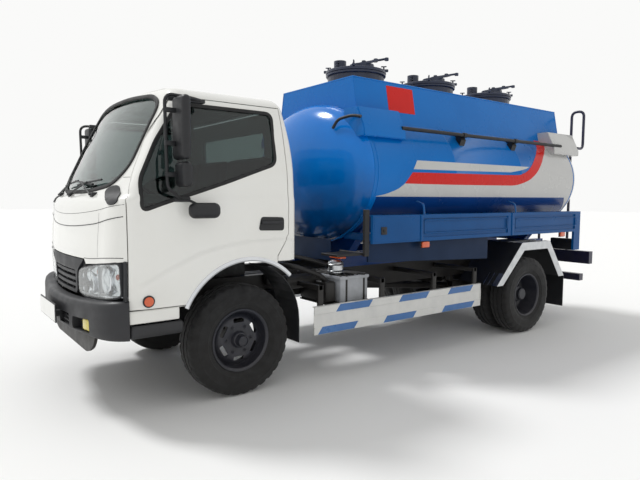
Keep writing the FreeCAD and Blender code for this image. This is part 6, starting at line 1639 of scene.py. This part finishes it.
# Distances are behind the front axle; the skin of a side panel is at 0.950
panels = dict(
    recesses=((1.756, 2.979, 1.118, 1.233), (3.130, 4.334, 1.122, 1.218)),
    joints=(1.714, 3.070), straps=(1.760, 3.140),
    cabinet=((0.948, 0.953), (1.150, 1.690), (1.062, 1.270), 0.002, 1),
    latch=((0.950, 0.960), (1.225, 1.290), (1.122, 1.186), 0.004, 2),
    latchAt=1.258, latchZ=1.154,
    apron=((1.150, 0.893), (2.76, 0.826), (2.76, 1.05), (1.150, 1.05)), apronX=(0.874, 0.880),
    apronEnd=((0.862, 0.882), (1.150, 1.166), (0.893, 1.05), 0.002, 1),
    lamps=((1.774, 1.016), (4.049, 1.026)))


# Pressed frames, latch, lamps, straps and apron of the side panels
def panelTrim():
    work = bmesh.new()
    for y0, y1, z0, z1 in panels["recesses"]:
        loop = roundLoop(sideView(((y0, z0), (y1, z0), (y1, z1), (y0, z1))), 0.02, 4)
        tube(work, [(0.9505, y, z) for y, z in loop], 0.006, 8, True, 0.6, (1, 0, 0))
    for d in panels["joints"]:
        roundBox(work, (0.948, 0.957), (along(d) - 0.016, along(d) + 0.016), (1.052, 1.280), 0.003, 2)
    for d in panels["straps"]:
        line = route(((0.940, d, 1.268), (0.927, d, 1.375), (0.845, d, 1.398)), 0.03)
        tube(work, line, 0.013, 8, False, 0.4, (1, 0, 0.6))
    addBlock(work, *panels["cabinet"])
    piece("panel_frames", bothSides(work), "enamelPanelBlue", "chassis", 35)
    work = block(*panels["latch"])
    rod(work, "X", 0.958, 0.968, along(panels["latchAt"]), panels["latchZ"], 0.013, 20, 0.002)
    piece("cabinet_latches", bothSides(work), "plasticBlack", "chassis")
    apron = prism(bmesh.new(), sideView(panels["apron"]), "YZ", *panels["apronX"])
    addBlock(apron, *panels["apronEnd"])
    piece("panel_apron", apron, "enamelApronBlue", "chassis", 35)
    lamps, holders = bmesh.new(), bmesh.new()
    for d, z in panels["lamps"]:
        y = along(d)
        roundBox(lamps, (0.934, 0.955), (y - 0.046, y + 0.046), (z - 0.026, z + 0.026), 0.007, 3)
        roundBox(holders, (0.926, 0.936), (y - 0.051, y + 0.051), (z - 0.030, z + 0.034), 0.003, 1)
    piece("side_lamps", bothSides(lamps), "acrylicAmber", "chassis")
    piece("side_lamp_holders", bothSides(holders), "plasticBlack", "chassis")
    print("panel trim")


# Distances are behind the front axle; the fender's edge is at 0.9645
fender = dict(
    outer=((2.823, 0.545), (3.243, 0.9625), (3.763, 0.9625), (4.073, 0.556)),
    inner=((2.920, 0.545), (3.282, 0.884), (3.724, 0.884), (3.972, 0.556)),
    edgeX=(0.9605, 0.9645), sheetX=(0.902, 0.9645), sheet=0.004,
    grooves=((0.848, 0.856), (0.792, 0.797)),
    flap=((0.53, 0.955), (4.086, 4.094), (0.215, 0.56), 0.003, 1), bolts=(0.60, 0.74, 0.88))


# Aluminium edging, grooves and mud flaps of the rear fenders
def fenders():
    outer = fender["outer"]
    work = prism(bmesh.new(), sideView(outer + fender["inner"][::-1]), "YZ", *fender["edgeX"])
    grooves = bmesh.new()
    for (y0, z0), (y1, z1) in zip(outer, outer[1:]):
        reach = math.hypot(y1 - y0, z1 - z0)
        ny, nz = -(z1 - z0) / reach * fender["sheet"], (y1 - y0) / reach * fender["sheet"]
        quad = ((along(y0), z0), (along(y1), z1), (along(y1) + ny, z1 + nz), (along(y0) + ny, z0 + nz))
        prism(work, quad, "YZ", *fender["sheetX"])
        for low, high in fender["grooves"]:
            prism(grooves, quad, "YZ", low, high)
    piece("fender_edging", bothSides(work), "aluminiumPlate", "chassis", 30)
    piece("fender_grooves", bothSides(grooves), "aluminiumPlate", "chassis", 30)
    flap = block(*fender["flap"])
    for x in fender["bolts"]:
        addBlock(flap, (x - 0.02, x + 0.02), (4.080, 4.100), (0.53, 0.57), 0.003, 1)
    piece("mud_flaps", bothSides(flap), "rubberSeal", "chassis", 30)
    print("fenders")


# Rows give across, behind the front axle, up, rounding and its steps
tail = dict(
    housing=((0.634, 0.928), (4.338, 4.396), (0.828, 0.960), 0.012, 3),
    amber=((0.646, 0.728), (4.392, 4.410), (0.838, 0.950), 0.008, 3),
    red=((0.738, 0.848), (4.392, 4.410), (0.838, 0.950), 0.008, 3),
    clear=((0.858, 0.920), (4.392, 4.410), (0.838, 0.950), 0.008, 3),
    plate=((-0.165, 0.165), (4.792, 4.796), (0.655, 0.775), 0.001, 1))


# Lamp clusters in dark housings, and a blank rear plate
def rearLamps():
    piece("rear_lamp_housings", bothSides(block(*tail["housing"])), "plasticBlack", "chassis")
    piece("brake_lenses", bothSides(block(*tail["red"])), "acrylicRed", "chassis", 35,
          ("rear_lamps",))
    piece("rear_turn_lenses", bothSides(block(*tail["amber"])), "acrylicAmber", "chassis")
    piece("reversing_lenses", bothSides(block(*tail["clear"])), "plateSheet", "chassis")
    piece("rear_number_plate", block(*tail["plate"]), "plateSheet", "chassis")
    print("rear lamps")


# x of the ladder's two tubes and of its hand loop, and the tubes' sizes
ladder = dict(inner=0.26, outer=0.64, loop=0.79, at=4.715, foot=0.79, top=2.484, turn=2.275,
              tubeRadius=0.016, rungRadius=0.0128, rungs=4, pitch=0.3)


# Ladder of bent tube with a rounded hand loop
def rearLadder():
    inner, outer, loop = ladder["inner"], ladder["outer"], ladder["loop"]
    at, foot, top, turn = ladder["at"], ladder["foot"], ladder["top"], ladder["turn"]
    work = bmesh.new()
    tube(work, route(((inner, at, foot), (inner, at, turn), (inner, 4.48, turn)), 0.09),
         ladder["tubeRadius"], 16)
    rail = route(((outer, at, foot), (outer, at, top), (loop, at, top), (loop, at, 2.032),
                  (loop, 4.575, 2.032)), 0.075, 8)
    tube(work, rail, ladder["tubeRadius"], 16)
    for n in range(1, ladder["rungs"] + 1):
        rod(work, "X", inner, outer, along(at), foot + ladder["pitch"] * n, ladder["rungRadius"], 16)
    piece("ladder_tubes", work, "enamelNavy", "chassis", 40, ("ladder",))
    print("ladder")


# Rows give across, behind the front axle, up, rounding and its steps
yard = dict(
    battery=(((0.385, 0.800), (0.925, 1.225), (0.566, 0.772), 0.012, 3),
             ((0.375, 0.806), (0.916, 1.234), (0.752, 0.780), 0.006, 2)),
    tray=(((0.40, 0.79), (0.80, 1.24), (0.556, 0.568), 0.003, 1),
          ((0.40, 0.77), (0.80, 0.905), (0.568, 0.745), 0.02, 3)),
    slats=7, slatStart=0.935, slatPitch=0.045, straps=(0.98, 1.17),
    posts=(((0.905, 0.935), (1.066, 1.115), (0.950, 1.330), 0.003, 1),
           ((0.60, 0.930), (1.070, 1.092), (0.955, 0.980), 0.003, 1),
           ((0.70, 0.905), (0.800, 1.070), (0.958, 0.978), 0.003, 1),
           ((0.375, 0.46), (0.44, 0.74), (0.70, 0.86), 0.02, 3)),
    thinPipe=((0.58, 0.46, 0.985), (0.60, 0.62, 0.950), (0.62, 0.80, 0.905), (0.62, 0.93, 0.86)),
    thickPipe=((0.50, 0.42, 0.90), (0.68, 0.56, 0.88), (0.70, 0.78, 0.80), (0.70, 0.90, 0.70)),
    skirt=((-0.45, 0.45), (1.098, 1.104), (0.870, 1.060), 0.002, 1),
    lamp=((0.60, 0.74), (0.965, 1.035), (0.918, 0.936), 0.006, 2),
    canister=((0.792, 0.0), (0.792, 0.050), (0.800, 0.064), (0.872, 0.066), (0.892, 0.058),
              (0.904, 0.036), (0.908, 0.0)),
    canisterX=0.66, canisterAt=0.985, canisterBands=(0.815, 0.868),
    reservoir=(0.52, 0.90), reservoirX=0.56, reservoirZ=0.74, reservoirRadius=0.058,
    handle=((0.510, 1.062, 2.015), (0.560, 1.078, 2.088), (0.690, 1.122, 2.112),
            (0.775, 1.150, 2.095)))


# Battery case, air canister, pipes and post between cab and tank
def behindCab():
    piece("battery_case", addBlocks(bmesh.new(), yard["battery"]), "plasticBatteryGrey", "chassis", 35,
          ("battery_box",))
    work = addBlocks(bmesh.new(), yard["tray"])
    for n in range(yard["slats"]):
        y = along(yard["slatStart"] + yard["slatPitch"] * n)
        roundBox(work, (0.39, 0.79), (y, y + 0.014), (0.780, 0.792), 0.003, 1)
    for d in yard["straps"]:
        roundBox(work, (0.382, 0.8035), (along(d), along(d) + 0.02), (0.560, 0.7925), 0.002, 1)
    addBlocks(work, yard["posts"])
    start, end = (along(distance) for distance in yard["reservoir"])
    rod(work, "Y", start, end, yard["reservoirX"], yard["reservoirZ"], yard["reservoirRadius"], 28, 0.012)
    tube(work, route(yard["thinPipe"], 0.05), 0.017, 14)
    tube(work, route(yard["thickPipe"], 0.06), 0.022, 14)
    piece("frame_brackets", work, "lacquerChassis", "chassis")
    piece("head_skirt", block(*yard["skirt"]), "enamelApronBlue", "chassis", 35)
    centre = (yard["canisterX"], along(yard["canisterAt"]), 0)
    can = lathe(bmesh.new(), yard["canister"], 32, "Z", centre, False)
    for z in yard["canisterBands"]:
        lathe(can, ((z - 0.006, 0.066), (z, 0.071), (z + 0.006, 0.066), (z, 0.060)), 32, "Z", centre)
    piece("air_canister", can, "aluminiumPlate", "chassis")
    piece("canister_lamp", block(*yard["lamp"]), "acrylicAmber", "chassis")
    handle = tube(bmesh.new(), route(yard["handle"], 0.05), 0.013, 14)
    piece("tank_head_handle", handle, "plasticBlack", "chassis")
    print("behind cab")


# Places are from the manhole's middle: across, along the truck and up
hatch = dict(
    middles=(("front", 1.755), ("middle", 2.8025), ("rear", 3.85)),
    rim=((2.612, 0.281), (2.612, 0.292), (2.618, 0.297), (2.634, 0.297), (2.639, 0.292),
         (2.639, 0.281)),
    foot=((2.486, 0.281), (2.486, 0.302), (2.494, 0.302), (2.500, 0.281)),
    dome=((2.6605, 0.299), (2.667, 0.297), (2.672, 0.280), (2.678, 0.20), (2.680, 0.0)),
    bolts=12, boltPitch=0.292, clamps=4, clampPitch=0.276,
    posts=((-0.150, -0.105, 2.775), (-0.085, -0.170, 2.772), (-0.155, -0.010, 2.765)),
    crossbars=((-0.150, -0.105, 0.0, -0.085, -0.170), (-0.150, -0.105, -0.006, -0.155, -0.010)),
    crossbarZ=(2.735, 2.757),
    handle=((0.02, -0.06, 2.690), (0.06, -0.02, 2.740), (0.20, 0.10, 2.762), (0.285, 0.150, 2.770)),
    knobs=((0.10, 0.015, 2.745), (0.19, 0.09, 2.757), (0.282, 0.148, 2.762)))


def hatchCollar(y):
    rim = lathe(bmesh.new(), hatch["rim"], 64, "Z", (0, y, 0))
    lathe(rim, hatch["foot"], 64, "Z", (0, y, 0))
    pitch = hatch["boltPitch"]
    for n in range(hatch["bolts"]):
        angle = math.pi * n / 6 + 0.2
        rod(rim, "Z", 2.494, 2.503, pitch * math.cos(angle), y + pitch * math.sin(angle), 0.007, 6)
    return rim


def hatchLid(y):
    work = lathe(bmesh.new(), hatch["dome"], 64, "Z", (0, y, 0), False)
    pitch = hatch["clampPitch"]
    for n in range(hatch["clamps"]):
        angle = math.pi * (0.25 + n / 2)
        turn = Matrix.Rotation(angle, 3, "Z")
        cx, cy = pitch * math.cos(angle), y + pitch * math.sin(angle)
        jaw = ((cx - 0.045, cx + 0.045), (cy - 0.012, cy + 0.012), (2.664, 2.690))
        wing = ((cx - 0.028, cx + 0.028), (cy - 0.006, cy + 0.006), (2.711, 2.722))
        roundBox(work, *jaw, 0.005, 2, turn)
        rod(work, "Z", 2.68, 2.718, cx, cy, 0.008, 12, 0.002)
        roundBox(work, *wing, 0.004, 2, turn)
    for x, dy, tall in hatch["posts"]:
        rod(work, "Z", 2.665, tall, x, y + dy, 0.009, 16, 0.002)
        for z in (tall - 0.020, tall - 0.048):
            collar = ((z - 0.005, 0.008), (z - 0.003, 0.018), (z + 0.003, 0.018), (z + 0.005, 0.008))
            lathe(work, collar, 20, "Z", (x, y + dy, 0))
    for z in hatch["crossbarZ"]:
        for x0, y0, lift, x1, y1 in hatch["crossbars"]:
            tube(work, ((x0, y + y0, z + lift), (x1, y + y1, z + lift)), 0.006, 10)
    tube(work, bend([(x, y + dy, z) for x, dy, z in hatch["handle"]], 0.03), 0.011, 12)
    for x, dy, z in hatch["knobs"]:
        rod(work, "Z", z - 0.012, min(z + 0.022, 2.779), x, y + dy, 0.021, 16, 0.004)
    return work


# Rims, domes, clamps, breathers and handles of the three manholes
def hatches():
    for name, distance in hatch["middles"]:
        y = along(distance)
        piece("collar_rim_" + name, hatchCollar(y), "enamelHatchSlate", "chassis")
        piece("hatch_fittings_" + name, hatchLid(y), "enamelHatchSlate", "lid_" + name)
    print("hatches")


seat = dict(
    spans=(("driver", 0.185, 0.784), ("bench", -0.784, 0.108)), rim=0.004, halfSeam=0.003,
    # behind the front axle, up, rounding
    cushion=((-0.418, 0.190), (1.035, 1.182), 0.052), back=((0.205, 0.322), (1.165, 1.720), 0.050),
    padLine=1.15, swell=0.012, rake=0.035, rakeTall=0.55,
    frames=(((0.20, 0.77), (-0.40, 0.30), (1.011, 1.040), 0.006, 2),
            ((-0.77, 0.095), (-0.40, 0.30), (1.011, 1.040), 0.006, 2)))


def seatPad(xs, kind):
    ds, zs, radius = seat[kind]
    work = block(xs, ds, zs, radius, 5)
    for vert in work.verts:  # the pad swells between its welts
        if kind == "cushion" and vert.co.z > seat["padLine"]:
            side = min(1.0, abs(vert.co.x - sum(xs) / 2) / ((xs[1] - xs[0]) / 2))
            vert.co.z += seat["swell"] * (side ** 4)
        if kind == "back":
            vert.co.y -= seat["rake"] * (zs[1] - vert.co.z) / seat["rakeTall"]
    return work


# Seat cushions and backs with welted edges; the bench is for two
def cushions():
    for name, low, high in seat["spans"]:
        widths = [(low + seat["rim"], high - seat["rim"])]
        if name == "bench":
            middle = (low + high) / 2
            widths = [(low + seat["rim"], middle - seat["halfSeam"]),
                      (middle + seat["halfSeam"], high - seat["rim"])]
        for kind in ("cushion", "back"):
            for index, xs in enumerate(widths):
                pad = piece("seat_%s_%s_%d" % (name, kind, index + 1), seatPad(xs, kind), "clothSeat",
                            "cab", 60, ("seats",) if kind == "cushion" and index == 0 else ())
    piece("seat_frames", addBlocks(bmesh.new(), seat["frames"]), "plasticBlack", "cab")
    print("cushions")


sideGuards()
panelTrim()
fenders()
rearLamps()
rearLadder()
behindCab()
hatches()
cushions()


# Plain finishes of the CAD nodes that keep their own shape

plain = {
    "cab_floor": "plasticCabInside",
    "steering_wheel": "plasticBlack", "steering_column": "plasticBlack",
    "front_mudguards": "plasticBlack", "rear_mudguards": "plasticBlack",
    "fuel_tank": "aluminiumPlate",
    "exhaust_silencer": "steelExhaust", "engine_block": "ironEngine",
    "frame_rails": "lacquerChassis", "frame_crossmembers": "lacquerChassis",
    "front_axle_beam": "lacquerChassis", "rear_axle_housing": "lacquerChassis",
    "leaf_springs": "lacquerChassis", "propeller_shaft": "lacquerChassis",
    "knuckle_left": "lacquerChassis", "knuckle_right": "lacquerChassis",
    "tie_rod": "lacquerChassis", "tank_saddles": "enamelBlueInPaintedShade",
    "rear_underrun": "enamelNavy",
    "side_panels": "enamelPanelBlue",
    "spill_box": "enamelTankBlue",
    "manhole_collars": "enamelHatchSlate", "manhole_lid_front": "enamelHatchSlate",
    "manhole_lid_middle": "enamelHatchSlate", "manhole_lid_rear": "enamelHatchSlate",
    "discharge_pipes": "aluminiumPlate",
}
for name, look in plain.items():
    mesh = nodes[name].data
    for index in range(max(1, len(mesh.materials))):
        if len(mesh.materials) <= index:
            mesh.materials.append(finishes[look])
        mesh.materials[index] = finishes[look]
print("plain finishes")


# Floor, light and camera

stage = dict(floor="#F3F3F2", sky="#FAFAF9", skyStrength=0.70, sunStrength=1.75, sunTurn=(38, 0, -62))


def stageAndLight():
    work = bmesh.new()
    bmesh.ops.create_grid(work, x_segments=1, y_segments=1, size=60)
    mesh = asMesh(work)
    floor = linked("floor", mesh)
    material = bpy.data.materials.new("pale_floor")
    material.use_nodes = True
    shader = material.node_tree.nodes["Principled BSDF"]
    shader.inputs["Base Color"].default_value = colour(stage["floor"])
    shader.inputs["Roughness"].default_value = 0.8
    mesh.materials.append(material)
    world = bpy.data.worlds.new("studio")
    bpy.context.scene.world = world
    world.use_nodes = True
    tree = world.node_tree
    tree.nodes.clear()
    path = addNode(tree, "ShaderNodeLightPath")
    seen = addNode(tree, "ShaderNodeBackground", {"Color": colour(stage["sky"]), "Strength": 1.0})
    lit = addNode(tree, "ShaderNodeBackground",
                  {"Color": colour(stage["sky"]), "Strength": stage["skyStrength"]})
    shown = path.outputs["Is Camera Ray"]
    for ray in ("Is Glossy Ray", "Is Transmission Ray"):  # metal and glass show the backdrop too
        shown = addNode(tree, "ShaderNodeMath", links={0: shown, 1: path.outputs[ray]},
                        operation="MAXIMUM").outputs["Value"]
    both = addNode(tree, "ShaderNodeMixShader", links={0: shown, 1: lit.outputs[0],
                                                       2: seen.outputs[0]})
    addNode(tree, "ShaderNodeOutputWorld", links={"Surface": both.outputs[0]})
    sun = bpy.data.objects.new("soft_sun", bpy.data.lights.new("soft_sun", "SUN"))
    sun.data.energy = stage["sunStrength"]
    sun.data.angle = math.radians(12)
    sun.rotation_euler = [math.radians(angle) for angle in stage["sunTurn"]]
    bpy.context.scene.collection.objects.link(sun)
    view = bpy.context.scene.view_settings
    view.view_transform = "Standard"


camera = dict(place=(4.234, -3.727, 1.426), azimuth=52.816, pitch=-4.434, roll=0.34, lens=30.885)


def placeCamera():
    data = bpy.data.cameras.new("photo_camera")
    data.sensor_width = 36
    data.lens = camera["lens"]
    data.clip_end = 200
    item = bpy.data.objects.new("photo_camera", data)
    turn = (Matrix.Rotation(math.radians(camera["azimuth"]), 4, "Z")
            @ Matrix.Rotation(math.radians(90 + camera["pitch"]), 4, "X")
            @ Matrix.Rotation(math.radians(camera["roll"]), 4, "Z"))
    item.matrix_world = Matrix.Translation(camera["place"]) @ turn
    bpy.context.scene.collection.objects.link(item)
    bpy.context.scene.camera = item


stageAndLight()
placeCamera()
print("stage and camera")
